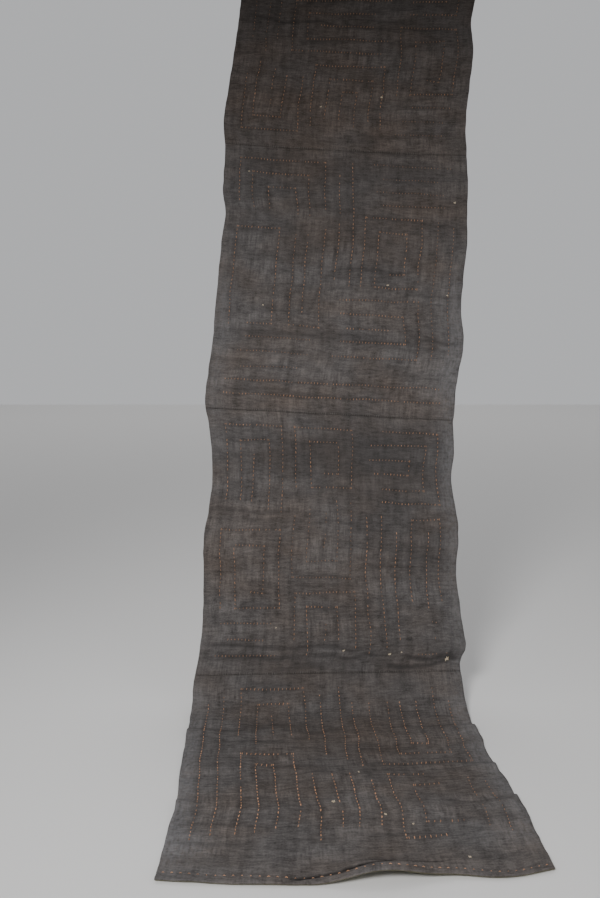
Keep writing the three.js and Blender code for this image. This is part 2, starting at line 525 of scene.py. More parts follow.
# The maze of running stitches: common motifs in a layout of its own, in the manner of the photo.
BLOCKS = {
    "panel_top": (
        Block(1, 1, 5, 4, Motif.OPENS_DOWN),
        Block(7, 1, 4, 5, Motif.KEY),
        Block(12, 1, 4, 7, Motif.OPENS_LEFT),
        Block(1, 6, 2, 5, Motif.UPRIGHTS, Show.FAINT),
        Block(4, 7, 7, 4, Motif.OPENS_RIGHT),
        Block(12, 9, 4, 5, Motif.KEY),
        Block(1, 12, 4, 5, Motif.OPENS_UP),
        Block(6, 12, 5, 5, Motif.OPENS_DOWN),
        Block(12, 15, 4, 2, Motif.RUNGS, Show.FAINT),
    ),
    "panel_upper": (
        Block(1, 1, 6, 4, Motif.OPENS_DOWN),
        Block(8, 1, 1, 9, Motif.UPRIGHTS),
        Block(10, 1, 6, 3, Motif.RUNGS, Show.FAINT),
        Block(10, 5, 4, 5, Motif.KEY),
        Block(15, 5, 1, 10, Motif.UPRIGHTS, Show.FAINT),
        Block(1, 6, 3, 7, Motif.KEY),
        Block(5, 6, 2, 7, Motif.OPENS_UP),
        Block(8, 11, 6, 4, Motif.OPENS_LEFT),
        Block(1, 14, 6, 2, Motif.RUNGS, Show.FAINT),
        Block(1, 17, 15, 1, Motif.RUNGS),
    ),
    "panel_lower": (
        Block(1, 1, 4, 6, Motif.OPENS_DOWN),
        Block(6, 1, 4, 4, Motif.KEY),
        Block(11, 1, 5, 5, Motif.OPENS_LEFT),
        Block(6, 6, 4, 5, Motif.OPENS_UP, Show.FAINT),
        Block(11, 7, 2, 9, Motif.UPRIGHTS),
        Block(14, 7, 2, 6, Motif.OPENS_DOWN),
        Block(1, 8, 4, 5, Motif.KEY),
        Block(6, 12, 4, 4, Motif.OPENS_DOWN),
        Block(1, 14, 4, 2, Motif.RUNGS),
        Block(14, 14, 2, 2, Motif.RUNGS, Show.FAINT),
    ),
    "panel_foot": (
        Block(1, 1, 1, 14, Motif.UPRIGHTS),
        Block(3, 1, 4, 5, Motif.OPENS_DOWN),
        Block(8, 1, 2, 7, Motif.UPRIGHTS),
        Block(11, 1, 5, 7, Motif.OPENS_UP),
        Block(3, 7, 3, 7, Motif.OPENS_DOWN, Show.BRIGHT),
        Block(7, 9, 3, 5, Motif.UPRIGHTS, Show.BRIGHT),
        Block(11, 9, 3, 5, Motif.OPENS_RIGHT),
        Block(15, 9, 1, 5, Motif.UPRIGHTS, Show.FAINT),
    ),
}

# Cream thread ends: the distance from the left edge, the station and the size beside the usual one.
KNOTS = (
    (337, 1917, 1.0),
    (447, 1927, 1.1),
    (587, 1938, 1.9),
    (473, 1922, 0.6),
    (345, 2283, 0.5),
    (417, 2438, 0.6),
    (245, 545, 0.7),
    (283, 2373, 1.0),
    (495, 2527, 1.2),
    (370, 2413, 0.8),
    (430, 1013, 1.0),
    (583, 1032, 0.9),
    (587, 788, 1.1),
    (397, 512, 1.1),
    (175, 1863, 0.6),
    (65, 730, 0.7),
    (120, 1080, 0.7),
)


def smoothstep(value: Array, low: float, high: float) -> Array:
    """An even ramp from 0 at low to 1 at high."""
    share = np.clip((value - low) / (high - low), 0, 1)
    return share * share * (3 - 2 * share)


def along(stations: Array, values: Array, at: Array) -> Array:
    """A smooth curve through a table's values.

    Args:
        stations: Where the values are, in rising order.
        values: The values at the stations.
        at: Where the curve is wanted; past the ends it stays level.

    Returns:
        The curve's values at the wanted places.
    """
    last = len(stations) - 1
    inside = np.clip(at, stations[0], stations[last])
    row = np.clip(np.searchsorted(stations, inside, side="left") - 1, 0, last - 1)
    before = np.maximum(np.arange(last + 1) - 1, 0)
    after = np.minimum(np.arange(last + 1) + 1, last)
    slopes = (values[after] - values[before]) / (stations[after] - stations[before])
    step = stations[row + 1] - stations[row]
    t = (inside - stations[row]) / step
    from_start = (1 + 2 * t) * (1 - t) ** 2 * values[row]
    from_end = t**2 * (3 - 2 * t) * values[row + 1]
    bends = t * (1 - t) ** 2 * slopes[row] - t**2 * (1 - t) * slopes[row + 1]
    return from_start + from_end + bends * step


def looked_up(grid: Array, row: Array, column: Array, eased: bool) -> Array:
    """A grid's values, blended between its corners.

    Args:
        grid: The values at the corners.
        row: Places down the grid, in cells.
        column: Places across the grid, in cells.
        eased: Whether the values run level through each corner.

    Returns:
        The value at each place.
    """
    row = np.clip(row, 0, grid.shape[0] - GRID_END)
    column = np.clip(column, 0, grid.shape[1] - GRID_END)
    i = row.astype(int)
    j = column.astype(int)
    down = row - i
    across = column - j
    if eased:
        down = smoothstep(down, 0, 1)
        across = smoothstep(across, 0, 1)
    upper = grid[i, j] * (1 - across) + grid[i, j + 1] * across
    lower = grid[i + 1, j] * (1 - across) + grid[i + 1, j + 1] * across
    return upper * (1 - down) + lower * down


class SmoothNoise:
    """Soft random hills between -1 and 1 over the flat cloth, the same on every run."""

    MARGIN = 60.0

    def __init__(self, seed: int, down: float, across: float) -> None:
        """Draws the hills' corner heights.

        Args:
            seed: The seed of the random heights.
            down: The hills' size down the cloth, in millimetres.
            across: The hills' size across the cloth, in millimetres.
        """
        self.down = down
        self.across = across
        rows = int((CLOTH_LENGTH + 2 * self.MARGIN) / down) + 3
        columns = int((WIDTH + 2 * self.MARGIN) / across) + 3
        self.heights = np.random.default_rng(seed).uniform(-1, 1, (rows, columns))

    def at(self, v: Array, x: Array) -> Array:
        """The hills' height at each place.

        Args:
            v: Stations down the cloth.
            x: Distances from the left edge.

        Returns:
            Heights from -1 to 1.
        """
        row = (v + self.MARGIN) / self.down
        column = (x + self.MARGIN) / self.across
        return looked_up(self.heights, row, column, eased=True)


class FlatLine:
    """A line on the flat cloth that wavers as a hand's does: a row of stitches or a crease."""

    STEP = 3.0
    WOBBLE_CELL = 46.0
    side = SmoothNoise(seed=31, down=WOBBLE_CELL, across=WOBBLE_CELL)
    length = SmoothNoise(seed=32, down=WOBBLE_CELL, across=WOBBLE_CELL)

    def __init__(
        self,
        start: tuple[float, float],
        end: tuple[float, float],
        weight: float,
        tone: float = 1.0,
        wobble: float = 2.2,
    ) -> None:
        """Samples the line from end to end.

        Args:
            start: Its first point as (x, v) in millimetres.
            end: Its last point.
            weight: Its strength: a stitch's size, or a crease's depth.
            tone: How light its thread is.
            wobble: How far it strays from straight, in millimetres.
        """
        self.weight = weight
        self.tone = tone
        (x0, v0), (x1, v1) = start, end
        self.way = Way.ACROSS if abs(x1 - x0) > abs(v1 - v0) else Way.DOWN
        count = max(int(math.hypot(x1 - x0, v1 - v0) / self.STEP), 1) + 1
        x = np.linspace(x0, x1, count)
        v = np.linspace(v0, v1, count)
        self.x = x + wobble * self.side.at(v, x)
        self.v = v + wobble * self.length.at(v, x)


class Pattern:
    """Every sewn line of the maze, by panel and by the way it runs."""

    CLEAR_OF_SEAM = 5.0
    CLEAR_OF_CORNER = 3.5
    SLIP = 4.0
    SWAY = 2.5
    PALEST = 0.95
    DULLEST = 0.65
    SEED = 64

    def __init__(self) -> None:
        """Lays out each panel's blocks on the flat cloth."""
        self.random = np.random.default_rng(self.SEED)
        self.lines: dict[tuple[str, Way], list[FlatLine]] = {}
        for panel in PANELS:
            for way in Way:
                self.lines[(panel.name, way)] = []
            for block in BLOCKS[panel.name]:
                for corners in block.lines(self.random):
                    for stretch in self._sewn(panel, corners, block.show):
                        self.lines[(panel.name, stretch.way)].append(stretch)

    def _sewn(self, panel: PanelSpan, line: Corners, show: Show) -> list[FlatLine]:
        """One line of a block on the flat cloth, kept inside its panel.

        Args:
            panel: The panel that the line is on.
            line: The line's corners on the lattice.
            show: How strongly the line shows.

        Returns:
            Its straight stretches in millimetres.
        """
        corners = []
        slip = self.random.uniform(-self.SLIP, self.SLIP)
        low = panel.start + self.CLEAR_OF_SEAM
        high = panel.end - self.CLEAR_OF_SEAM
        for column, row in line:
            x = FIRST_COLUMN + LATTICE_PITCH * (column - 1)
            v = panel.start + LATTICE_PITCH * row
            sway_x, sway_v = self.random.uniform(-self.SWAY, self.SWAY, 2)
            corners.append((x + slip + sway_x, min(max(v + sway_v, low), high)))
        tone = self.random.uniform(self.DULLEST, self.PALEST)
        stretches = []
        for (x0, v0), (x1, v1) in zip(corners, corners[1:]):
            is_across = abs(x1 - x0) > abs(v1 - v0)
            inset = math.copysign(self.CLEAR_OF_CORNER, x1 - x0) if is_across else 0.0
            ends = ((x0 + inset, v0), (x1 - inset, v1))
            stretches.append(FlatLine(*ends, weight=show.value, tone=tone * show.value))
        return stretches

    def every(self) -> list[FlatLine]:
        """All lines of all panels."""
        return [line for lines in self.lines.values() for line in lines]


def crease_lines(creases: Sequence[Crease], wobble: float) -> list[FlatLine]:
    """Listed creases as lines on the flat cloth, which stray from straight by the wobble."""
    lines = []
    for crease in creases:
        ends = ((crease.start, crease.v - crease.slope / 2), (crease.end, crease.v + crease.slope / 2))
        lines.append(FlatLine(*ends, weight=crease.depth, wobble=wobble))
    return lines


def small_crease_lines() -> list[FlatLine]:
    """A scatter of small creases as lines on the flat cloth, the same on every run."""
    lines = []
    random = np.random.default_rng(SMALL_CREASE_SEED)
    for _ in range(SMALL_CREASES):
        length = random.uniform(*SMALL_CREASE_LENGTHS)
        x = random.uniform(0, WIDTH - length)
        v = random.uniform(*SMALL_CREASE_STATIONS)
        tilt = random.uniform(*SMALL_CREASE_TILTS)
        depth = random.uniform(*SMALL_CREASE_DEPTHS)
        lines.append(FlatLine((x, v), (x + length, v + tilt), weight=depth, wobble=SMALL_CREASE_WOBBLE))
    return lines


class PullMap:
    """How strongly a set of lines draws the cloth in, over the flat cloth."""

    MARGIN = 30.0
    REACHES = 2.4
    FADE = (-0.05, 0.15)

    def __init__(self, lines: Sequence[FlatLine], reach: float) -> None:
        """Spreads each line's pull over the cells around it.

        Args:
            lines: The lines.
            reach: How far a line's pull carries, in millimetres.
        """
        rows = int((CLOTH_LENGTH + 2 * self.MARGIN) / MAP_CELL) + 2
        columns = int((WIDTH + 2 * self.MARGIN) / MAP_CELL) + 2
        self.pull = np.zeros((rows, columns))
        row = (np.concatenate([line.v for line in lines]) + self.MARGIN) / MAP_CELL
        column = (np.concatenate([line.x for line in lines]) + self.MARGIN) / MAP_CELL
        weight = np.concatenate([line.weight * self._fading(len(line.v)) for line in lines])
        near = int(self.REACHES * reach / MAP_CELL)
        for i in range(-near, near + 1):
            for j in range(-near, near + 1):
                to_row = np.clip(np.round(row).astype(int) + i, 0, rows - 1)
                to_column = np.clip(np.round(column).astype(int) + j, 0, columns - 1)
                off = np.hypot(to_row - row, to_column - column) * MAP_CELL
                pull = weight * np.exp(-((off / reach) ** 2))
                np.maximum.at(self.pull, (to_row, to_column), pull)

    def _fading(self, count: int) -> Array:
        """A line's strength from end to end: full but for its two ends."""
        share = np.linspace(0, 1, count)
        return smoothstep(share, *self.FADE) * smoothstep(1 - share, *self.FADE)

    def at(self, v: Array, x: Array) -> Array:
        """The pull at each place, blended between cells.

        Args:
            v: Stations down the cloth.
            x: Distances from the left edge.

        Returns:
            The pull.
        """
        row = (v + self.MARGIN) / MAP_CELL
        column = (x + self.MARGIN) / MAP_CELL
        return looked_up(self.pull, row, column, eased=False)


class ClothForm:
    """Where each point of the cloth lies: v runs down its length, and u across it from -1 to 1."""

    STRAY_SEED = 41
    FADE_SEED = 71
    NORMAL_REACH = 1.5

    def __init__(self, pattern: Pattern) -> None:
        """Reads the tables into arrays.

        Args:
            pattern: The sewn lines that draw the cloth in.
        """
        self.edge_at = np.array([edge.at for edge in EDGES], float)
        self.edge_left = np.array([edge.left for edge in EDGES], float)
        self.edge_right = np.array([edge.right for edge in EDGES], float)
        self.wave_at = np.array([place for place, _ in FRONT_WAVES])
        self.wave_down = np.array([down for _, down in FRONT_WAVES])
        self.crinkles = [(each, SmoothNoise(each.seed, each.down, each.across)) for each in CRINKLES]
        numbers = range(len(FOLDS))
        self.strays = [SmoothNoise(self.STRAY_SEED + number, CLOTH_LENGTH, FOLD_CELL) for number in numbers]
        self.fades = [SmoothNoise(self.FADE_SEED + number, CLOTH_LENGTH, FOLD_CELL) for number in numbers]
        self.left_wobble = SmoothNoise(seed=21, down=23, across=WIDTH)
        self.right_wobble = SmoothNoise(seed=22, down=27, across=WIDTH)
        self.pucker = PullMap(pattern.every(), PUCKER_REACH)
        self.crease = PullMap(crease_lines(CREASES, CREASE_WOBBLE) + small_crease_lines(), CREASE_REACH)
        self.hem_crease = PullMap(crease_lines(HEM_CREASES, HEM_CREASE_WOBBLE), HEM_CREASE_REACH)
        self.front_y, self.front_z, _ = self.walk(np.array(float(CLOTH_LENGTH)))

    @staticmethod
    def walk(s: Array) -> tuple[Array, Array, Array]:
        """The side view of the cloth's run.

        Args:
            s: Lengths from the top edge.

        Returns:
            The y and z places and the angle from the vertical.
        """
        angle = np.full(s.shape, LEAN)
        y = np.zeros(s.shape)
        z = np.zeros(s.shape)
        left = s.astype(float)
        for stretch in RUN:
            is_last = stretch is RUN[-1]
            length = left if is_last else np.minimum(left, stretch.length)
            if stretch.turn == 0:
                y = y - np.sin(angle) * length
                z = z - np.cos(angle) * length
            else:
                radius = stretch.length / math.radians(stretch.turn)
                turn = length / radius
                y = y - radius * (np.cos(angle) - np.cos(angle + turn))
                z = z - radius * (np.sin(angle + turn) - np.sin(angle))
                angle = angle + turn
            left = left - length
        return y, z, angle

    def slant(self, v: Array, u: Array) -> Array:
        """How far a row of the cloth runs down past its station, in millimetres."""
        stations = np.array([slant.at for slant in SLANTS], float)
        inside = np.clip(v, 0, CLOTH_LENGTH)
        down = np.zeros(np.broadcast(v, u).shape)
        for before, after in zip(SLANTS, SLANTS[1:]):
            share = (inside - before.at) / (after.at - before.at)
            blend = before.down.at(u) * (1 - share) + after.down.at(u) * share
            here = (inside > before.at) & (inside <= after.at)
            down = np.where(here, blend, down)
        near_front = smoothstep(v, stations[-1] - FRONT_WAVE_LENGTH, stations[-1])
        return down + along(self.wave_at, self.wave_down, u) * near_front

    def relief(self, v: Array, u: Array) -> Array:
        """How far folds, crinkles and the sewing's pull move the cloth out, in millimetres."""
        x = (u + 1) / 2 * WIDTH
        height = -PUCKER_DEPTH * self.pucker.at(v, x) - CREASE_DEPTH * self.crease.at(v, x)
        height = height - self.hem_crease.at(v, x)
        inside = 1 - smoothstep(np.abs(u), *FOLD_EDGES)
        for fold, stray, fade in zip(FOLDS, self.strays, self.fades):
            if fold.reach > NARROW_FOLD:
                height = height + fold.height(v, u)
                continue
            shift = FOLD_WANDER * inside * stray.at(0 * x, x)
            share = 1 - inside * (FOLD_FADE + FOLD_UNEVENNESS * (1 + fade.at(0 * x, x)))
            height = height + share * fold.height(v + shift, u)
        for crinkle, noise in self.crinkles:
            height = height + crinkle.height * noise.at(v, x)
        return height + FLOOR_SLACK * smoothstep(v, SLACK_FROM, SLACK_TO)

    def points(self, v: Array, u: Array, height: Array) -> Array:
        """Points of the cloth in the part's frame.

        Args:
            v: Stations down the cloth.
            u: Places across it, from -1 to 1.
            height: Heights out of its back face, in millimetres.

        Returns:
            An array of points in metres, its last axis x, y and z.
        """
        v, u, height = np.broadcast_arrays(v, u, height)
        s = v + self.slant(v, u)
        y, z, angle = self.walk(s)
        left = along(self.edge_at, self.edge_left, s) + EDGE_WOBBLE * self.left_wobble.at(s, 0 * s)
        right = along(self.edge_at, self.edge_right, s) + EDGE_WOBBLE * self.right_wobble.at(s, 0 * s)
        out = height + self.relief(v, u)
        x = left + (right - left) * (u + 1) / 2
        y = y - self.front_y - np.cos(angle) * out
        z = z - self.front_z + np.sin(angle) * out
        z = np.maximum(z, LEAST_HEIGHT_SHARE * np.clip(height, 0, None))
        return (np.stack([x, y, z], axis=-1) + np.array(FRAME_SHIFT)) * MM

    def normals(self, v: Array, u: Array) -> Array:
        """The directions out of the cloth's front face at each place."""
        reach = self.NORMAL_REACH
        side = reach / WIDTH * 2
        flat = np.zeros(np.broadcast(v, u).shape)
        down = self.points(v + reach, u, flat) - self.points(v - reach, u, flat)
        right = self.points(v, u + side, flat) - self.points(v, u - side, flat)
        normal = np.cross(down, right)
        return normal / np.linalg.norm(normal, axis=-1, keepdims=True)


def base_height(panel: PanelSpan, v: Array) -> Array:
    """How far a panel's back is from the cloth's plain run.

    Args:
        panel: The panel.
        v: Stations down the cloth.

    Returns:
        Heights in millimetres: below nothing where the panel is tucked behind the one above it,
        and above it where it lies over the front hem's turned ply.
    """
    tucked = -(THICKNESS + LAP_GAP) if panel.start > 0 else 0.0
    behind = tucked * (1 - smoothstep(v, panel.start, panel.start + LAP_RAMP))
    if panel.end < CLOTH_LENGTH:
        return behind
    ramp_end = CLOTH_LENGTH - HEM_DEPTH - HEM_CLEARANCE
    return behind + HEM_LIFT * smoothstep(v, ramp_end - HEM_RAMP, ramp_end)


@dataclass
class Section:
    """A panel's cut along its length: the stations and heights of its two faces."""

    outer_v: Array
    outer_height: Array
    inner_v: Array
    inner_height: Array

    def joined(self, other: "Section") -> "Section":
        """This section followed by another."""
        pairs = zip(vars(self).values(), vars(other).values())
        return Section(*(np.concatenate(pair) for pair in pairs))

    def turned_round(self) -> "Section":
        """This section from its end to its start."""
        return Section(*(values[::-1] for values in vars(self).values()))


def turned_edge(edge: float, inwards: int, base: float) -> Section:
    """A hem's turned edge, from the face ply round to the end of the turned ply.

    Args:
        edge: The station of the cloth's end.
        inwards: 1 where the cloth is after the edge, -1 where it is before it.
        base: The height of the face ply's back.

    Returns:
        The section round the edge.
    """
    outer_radius = OUTER_TURN * THICKNESS
    inner_radius = INNER_TURN * THICKNESS
    centre_height = base - HEM_GAP / 2
    turn = np.linspace(math.pi / 2, -math.pi / 2, TURN_STEPS)
    plies = np.arange(1, TURNED_ROWS + 1) / TURNED_ROWS
    flat_v = outer_radius + (HEM_DEPTH - outer_radius) * plies
    inset = np.concatenate([outer_radius - outer_radius * np.cos(turn), flat_v])
    low_outer = np.full(TURNED_ROWS, base - HEM_LIFT)
    low_inner = np.full(TURNED_ROWS, base - HEM_GAP)
    outer = np.concatenate([centre_height + outer_radius * np.sin(turn), low_outer])
    inner_inset = np.concatenate([outer_radius - inner_radius * np.cos(turn), flat_v])
    inner = np.concatenate([centre_height + inner_radius * np.sin(turn), low_inner])
    return Section(edge + inwards * inset, outer, edge + inwards * inner_inset, inner)


class ClothAttribute(Enum):
    """The tint masks that the sheets carry for their material; the dark one is partly painted shade, and
    the stitch pull, crease and hem gap ones paint shade and shadow.
    """

    WARM = "warm_tint"
    DARK = "dark_tint"
    DUST = "dust_tint"
    PULL = "stitch_pull"
    CREASE = "crease_depth"
    GAP = "hem_gap"
    RAW = "raw_edge"


def patch_mask(patches: Sequence[Patch], x: Array, v: Array) -> Array:
    """The strength of a set of soft patches at each place, at most 1."""
    mask = np.zeros(np.broadcast(x, v).shape)
    for patch in patches:
        off = ((x - patch.x) / patch.half_width) ** 2 + ((v - patch.v) / patch.half_height) ** 2
        mask = mask + patch.strength * np.exp(-off)
    return np.clip(mask, 0, 1)


def store(mesh: bpy.types.Mesh, name: str, values: Array) -> None:
    """Stores a number for each point of a mesh."""
    layer = mesh.attributes.new(name, "FLOAT", "POINT")
    layer.data.foreach_set("value", values.astype(np.float32))


def plain_object(name: str, mesh: bpy.types.Mesh) -> bpy.types.Object:
    """A mesh object at the origin, in the scene."""
    thing = bpy.data.objects.new(name, mesh)
    bpy.context.scene.collection.objects.link(thing)
    return thing


class PanelSheet:
    """One woven panel as a closed sheet with a front and a back face."""

    SELVEDGE = 0.45
    FEATHER_LENGTH = 12.0
    FEATHER = 1.3
    FINE_FROM = 2520.0
    FINE_STEP = 2.0
    LAST_GAP = 1.0
    FACE_INSET = HEM_DEPTH / 4
    FULL_CREASE = 3.0
    RAW_HEIGHTS = (1.3, 2.4)
    RAW_MARGIN = 1.0

    def __init__(self, panel: PanelSpan, form: ClothForm) -> None:
        """Keeps what the sheet is built from.

        Args:
            panel: The panel's span.
            form: The cloth's shape.
        """
        self.panel = panel
        self.form = form
        self.columns = int(round(WIDTH / COLUMN_STEP))

    def section(self) -> Section:
        """The panel's cut along its length, hems included."""
        panel = self.panel
        is_top = panel.start == 0
        is_foot = panel.end == CLOTH_LENGTH
        first = self.FACE_INSET if is_top else panel.start - LAP
        last = panel.end - self.FACE_INSET if is_foot else panel.end
        v = np.arange(first, min(last, self.FINE_FROM), ROW_STEP)
        if is_foot:
            v = np.concatenate([v, np.arange(self.FINE_FROM, last, self.FINE_STEP)])
        v = np.append(v[v < last - self.LAST_GAP], last)
        base = base_height(panel, v)
        thin = 0.0 if is_foot else self.FEATHER * smoothstep(v, last - self.FEATHER_LENGTH, last)
        cut = Section(v, base + THICKNESS - thin, v, base)
        if is_top:
            cut = turned_edge(0, 1, 0).turned_round().joined(cut)
        if is_foot:
            cut = cut.joined(turned_edge(panel.end, -1, HEM_LIFT))
        return cut

    def _face(self, v: Array, height: Array, pinch: float) -> tuple[Array, Array]:
        """The points of one face and their places on the flat cloth.

        Args:
            v: The stations of its rows.
            height: The heights of its rows.
            pinch: How far the face is drawn towards the sheet's middle at the side edges.

        Returns:
            The points, and their u and v side by side.
        """
        u = np.linspace(-1, 1, self.columns + 1)
        places_v, places_u = np.meshgrid(v, u, indexing="ij")
        heights = np.repeat(height[:, None], len(u), axis=1)
        heights[:, [0, -1]] += pinch
        points = self.form.points(places_v, places_u, heights)
        return points.reshape(-1, 3), np.stack([places_u, places_v], axis=-1).reshape(-1, 2)

    def _faces(self, rows: int) -> Array:
        """The corners of every face of a closed sheet with that many rows of points."""
        wide = self.columns + 1
        layer = rows * wide
        number = np.arange(layer).reshape(rows, wide)
        a, b = number[:-1, :-1], number[:-1, 1:]
        c, d = number[1:, :-1], number[1:, 1:]
        front = np.stack([a, c, d, b], axis=-1).reshape(-1, 4)
        back = np.stack([a, b, d, c], axis=-1).reshape(-1, 4) + layer
        up, down = number[:-1, 0], number[1:, 0]
        left = np.stack([up, up + layer, down + layer, down], axis=-1)
        up, down = number[:-1, -1], number[1:, -1]
        right = np.stack([up, down, down + layer, up + layer], axis=-1)
        west, east = number[0, :-1], number[0, 1:]
        top = np.stack([west, east, east + layer, west + layer], axis=-1)
        west, east = number[-1, :-1], number[-1, 1:]
        bottom = np.stack([west, west + layer, east + layer, east], axis=-1)
        return np.concatenate([front, back, left, right, top, bottom])

    def build(self) -> bpy.types.Object:
        """The sheet as an object, with its flat places as a UV map and its tint masks."""
        cut = self.section()
        front, front_places = self._face(cut.outer_v, cut.outer_height, -self.SELVEDGE)
        back, back_places = self._face(cut.inner_v, cut.inner_height, self.SELVEDGE)
        points = np.concatenate([front, back])
        places = np.concatenate([front_places, back_places])
        faces = self._faces(len(cut.outer_v))
        mesh = bpy.data.meshes.new(self.panel.name)
        mesh.from_pydata(points.tolist(), [], faces.tolist())
        mesh.shade_smooth()
        self._map(mesh, places)
        x = (places[:, 0] + 1) / 2 * WIDTH
        v = places[:, 1]
        masks = {
            ClothAttribute.WARM: patch_mask(WARM_PATCHES, x, v),
            ClothAttribute.DARK: patch_mask(DARK_AND_SHADE_PATCHES, x, v),
            ClothAttribute.DUST: patch_mask(DUST_PATCHES, x, v),
            ClothAttribute.PULL: self.form.pucker.at(v, x),
            ClothAttribute.CREASE: np.clip(self.form.crease.at(v, x) / self.FULL_CREASE, 0, 1),
            ClothAttribute.GAP: np.clip(self.form.hem_crease.at(v, x) / self.FULL_CREASE, 0, 1),
            ClothAttribute.RAW: self._raw(cut, len(points)),
        }
        for kind, values in masks.items():
            store(mesh, kind.value, values)
        mesh.update()
        sheet = plain_object(self.panel.name.replace("panel", "cloth"), mesh)
        LOG.info("%s: %d faces", sheet.name, len(mesh.polygons))
        return sheet

    def _raw(self, cut: Section, count: int) -> Array:
        """The share of raw, undyed raffia: all of the ply turned under the front hem."""
        raw = np.zeros(count)
        near_front = cut.outer_v > CLOTH_LENGTH - HEM_DEPTH - self.RAW_MARGIN
        low = near_front * (1 - smoothstep(cut.outer_height, *self.RAW_HEIGHTS))
        outer = np.repeat(low, self.columns + 1)
        raw[: len(outer)] = outer
        return raw

    @staticmethod
    def _map(mesh: bpy.types.Mesh, places: Array) -> None:
        """Writes the flat places as a UV map that spans the whole cloth once."""
        corners = np.empty(len(mesh.loops), dtype=np.int32)
        mesh.loops.foreach_get("vertex_index", corners)
        flat = np.stack([(places[:, 0] + 1) / 2, 1 - places[:, 1] / CLOTH_LENGTH], axis=-1)
        layer = mesh.uv_layers.new(name="cloth")
        layer.data.foreach_set("uv", flat[corners].astype(np.float32).ravel())


class NodeSheet:
    """A node tree being wired, with short calls for what is used often."""

    COLOUR_A = 6
    COLOUR_B = 7
    COLOUR_RESULT = 2

    def __init__(self, tree: bpy.types.NodeTree) -> None:
        """Keeps the tree.

        Args:
            tree: The node tree to wire.
        """
        self.tree = tree

    def add(self, kind: str, feeds: dict[Any, Any] | None = None, **settings: Any) -> bpy.types.Node:
        """A new node with some of its properties and inputs set.

        Args:
            kind: The node's type.
            feeds: What goes into its inputs, by their names or numbers.
            **settings: Its properties by name.

        Returns:
            The node.
        """
        node = self.tree.nodes.new(kind)
        for name, value in settings.items():
            setattr(node, name, value)
        for socket, value in (feeds or {}).items():
            self.feed(node.inputs[socket], value)
        return node

    def feed(self, socket: bpy.types.NodeSocket, value: Any) -> None:
        """Links a socket's source to it, or sets its plain value."""
        if isinstance(value, bpy.types.NodeSocket):
            self.tree.links.new(value, socket)
        else:
            socket.default_value = value

    def maths(self, operation: str, *values: Any) -> bpy.types.NodeSocket:
        """The result of a maths node whose inputs are sockets or numbers."""
        return self.add("ShaderNodeMath", dict(enumerate(values)), operation=operation).outputs[0]

    def vector(self, **parts: Any) -> bpy.types.NodeSocket:
        """A vector from some of its parts X, Y and Z, the others nothing."""
        return self.add("ShaderNodeCombineXYZ", parts).outputs[0]

    def blend(self, share: Any, a: Any, b: Any, mode: str = "MIX") -> bpy.types.NodeSocket:
        """A colour from a to b by share."""
        feeds = {0: share, self.COLOUR_A: a, self.COLOUR_B: b}
        node = self.add("ShaderNodeMix", feeds, data_type="RGBA", blend_type=mode)
        return node.outputs[self.COLOUR_RESULT]

    def span(self, value: Any, *ends: float) -> bpy.types.NodeSocket:
        """A value moved evenly from one range to another, given by their four ends, and kept inside it."""
        feeds = dict(enumerate((value, *ends)))
        return self.add("ShaderNodeMapRange", feeds, clamp=True).outputs[0]

    def noise(
        self, place: Any, cells: Sequence[float], detail: float, start: float = 0.0
    ) -> bpy.types.NodeSocket:
        """Noise over the flat cloth.

        Args:
            place: The place on the cloth, in metres.
            cells: How many cells there are in a metre, across and down.
            detail: How many finer sizes are laid over the first.
            start: Where it is read on its third axis.

        Returns:
            The noise, about 0.5 at its mean.
        """
        feeds = {0: place, 1: (*cells, 1.0), 2: (0.0, 0.0, start)}
        stretch = self.add("ShaderNodeVectorMath", feeds, operation="MULTIPLY_ADD")
        feeds = {"Vector": stretch.outputs[0], "Scale": 1.0, "Detail": detail}
        return self.add("ShaderNodeTexNoise", feeds).outputs[0]


def blank_material(name: str) -> tuple[bpy.types.Material, NodeSheet, bpy.types.Node]:
    """A new material, with its node sheet and its Principled shader."""
    material = bpy.data.materials.new(name)
    material.use_nodes = True
    return material, NodeSheet(material.node_tree), material.node_tree.nodes["Principled BSDF"]


# The cloth's unevenness: cells in a metre across and down, and detail.
SLUBS = {
    "Crinkle": (46.0, 185.0, 4.0),
    "Strand": (170.0, 560.0, 2.0),
    "Rib": (250.0, 34.0, 2.0),
    "Grain": (300.0, 330.0, 3.0),
    "Mottle": (60.0, 44.0, 2.0),
    "Streak": (85.0, 9.0, 2.0),
    "Bands": (8.0, 26.0, 1.0),
    "Cloud": (7.0, 11.0, 2.0),
}
SLUB_SPACING = 3.7
STRAND_WIDTH = 0.0013

# How much each kind of unevenness lightens the cloth, from a start below its darkest.
SHADE_START = -0.29
SHADE_WEIGHTS = {
    "Crinkle": 0.36,
    "Mottle": 0.2,
    "Streak": 0.24,
    "Strand": 0.2,
    "Rib": 0.36,
    "Grain": 0.28,
    "Weave": 0.1,
}
WARMTH = 0.6
# How far the dark patches darken the cloth: partly its own tone, partly painted shade.
DARKNESS = 0.5
# Painted shade along the stitch lines, in their puckers and needle holes.
STITCH_PUCKER_SHADE = 0.42
# Painted shade in the creases.
CREASE_SHADE_SHARE = 0.75

# Ranges of noise and what they become: low, high, low result and high result.
BAND_SPAN = (0.45, 0.75, 0.15, 1.0)
CLOUD_SPAN = (0.25, 1.0, 0.0, 0.6)
SLUB_SPAN = (0.3, 0.7, 0.0, 1.0)
DUST_SPAN = (0.3, 0.75, 0.1, 1.0)

# The painted shadow in the front hem's deep creases: near black.
HEM_CREASE_SHADOW = (0.01, 0.009, 0.009, 1)

# The relief of the material, in metres, and what the strands and ribs add to the weave's.
COARSE_RELIEF = 0.0011
FINE_RELIEF = 0.0004
FINE_STRENGTH = 0.8
STRAND_RELIEF = 0.9
RIB_RELIEF = 1.3


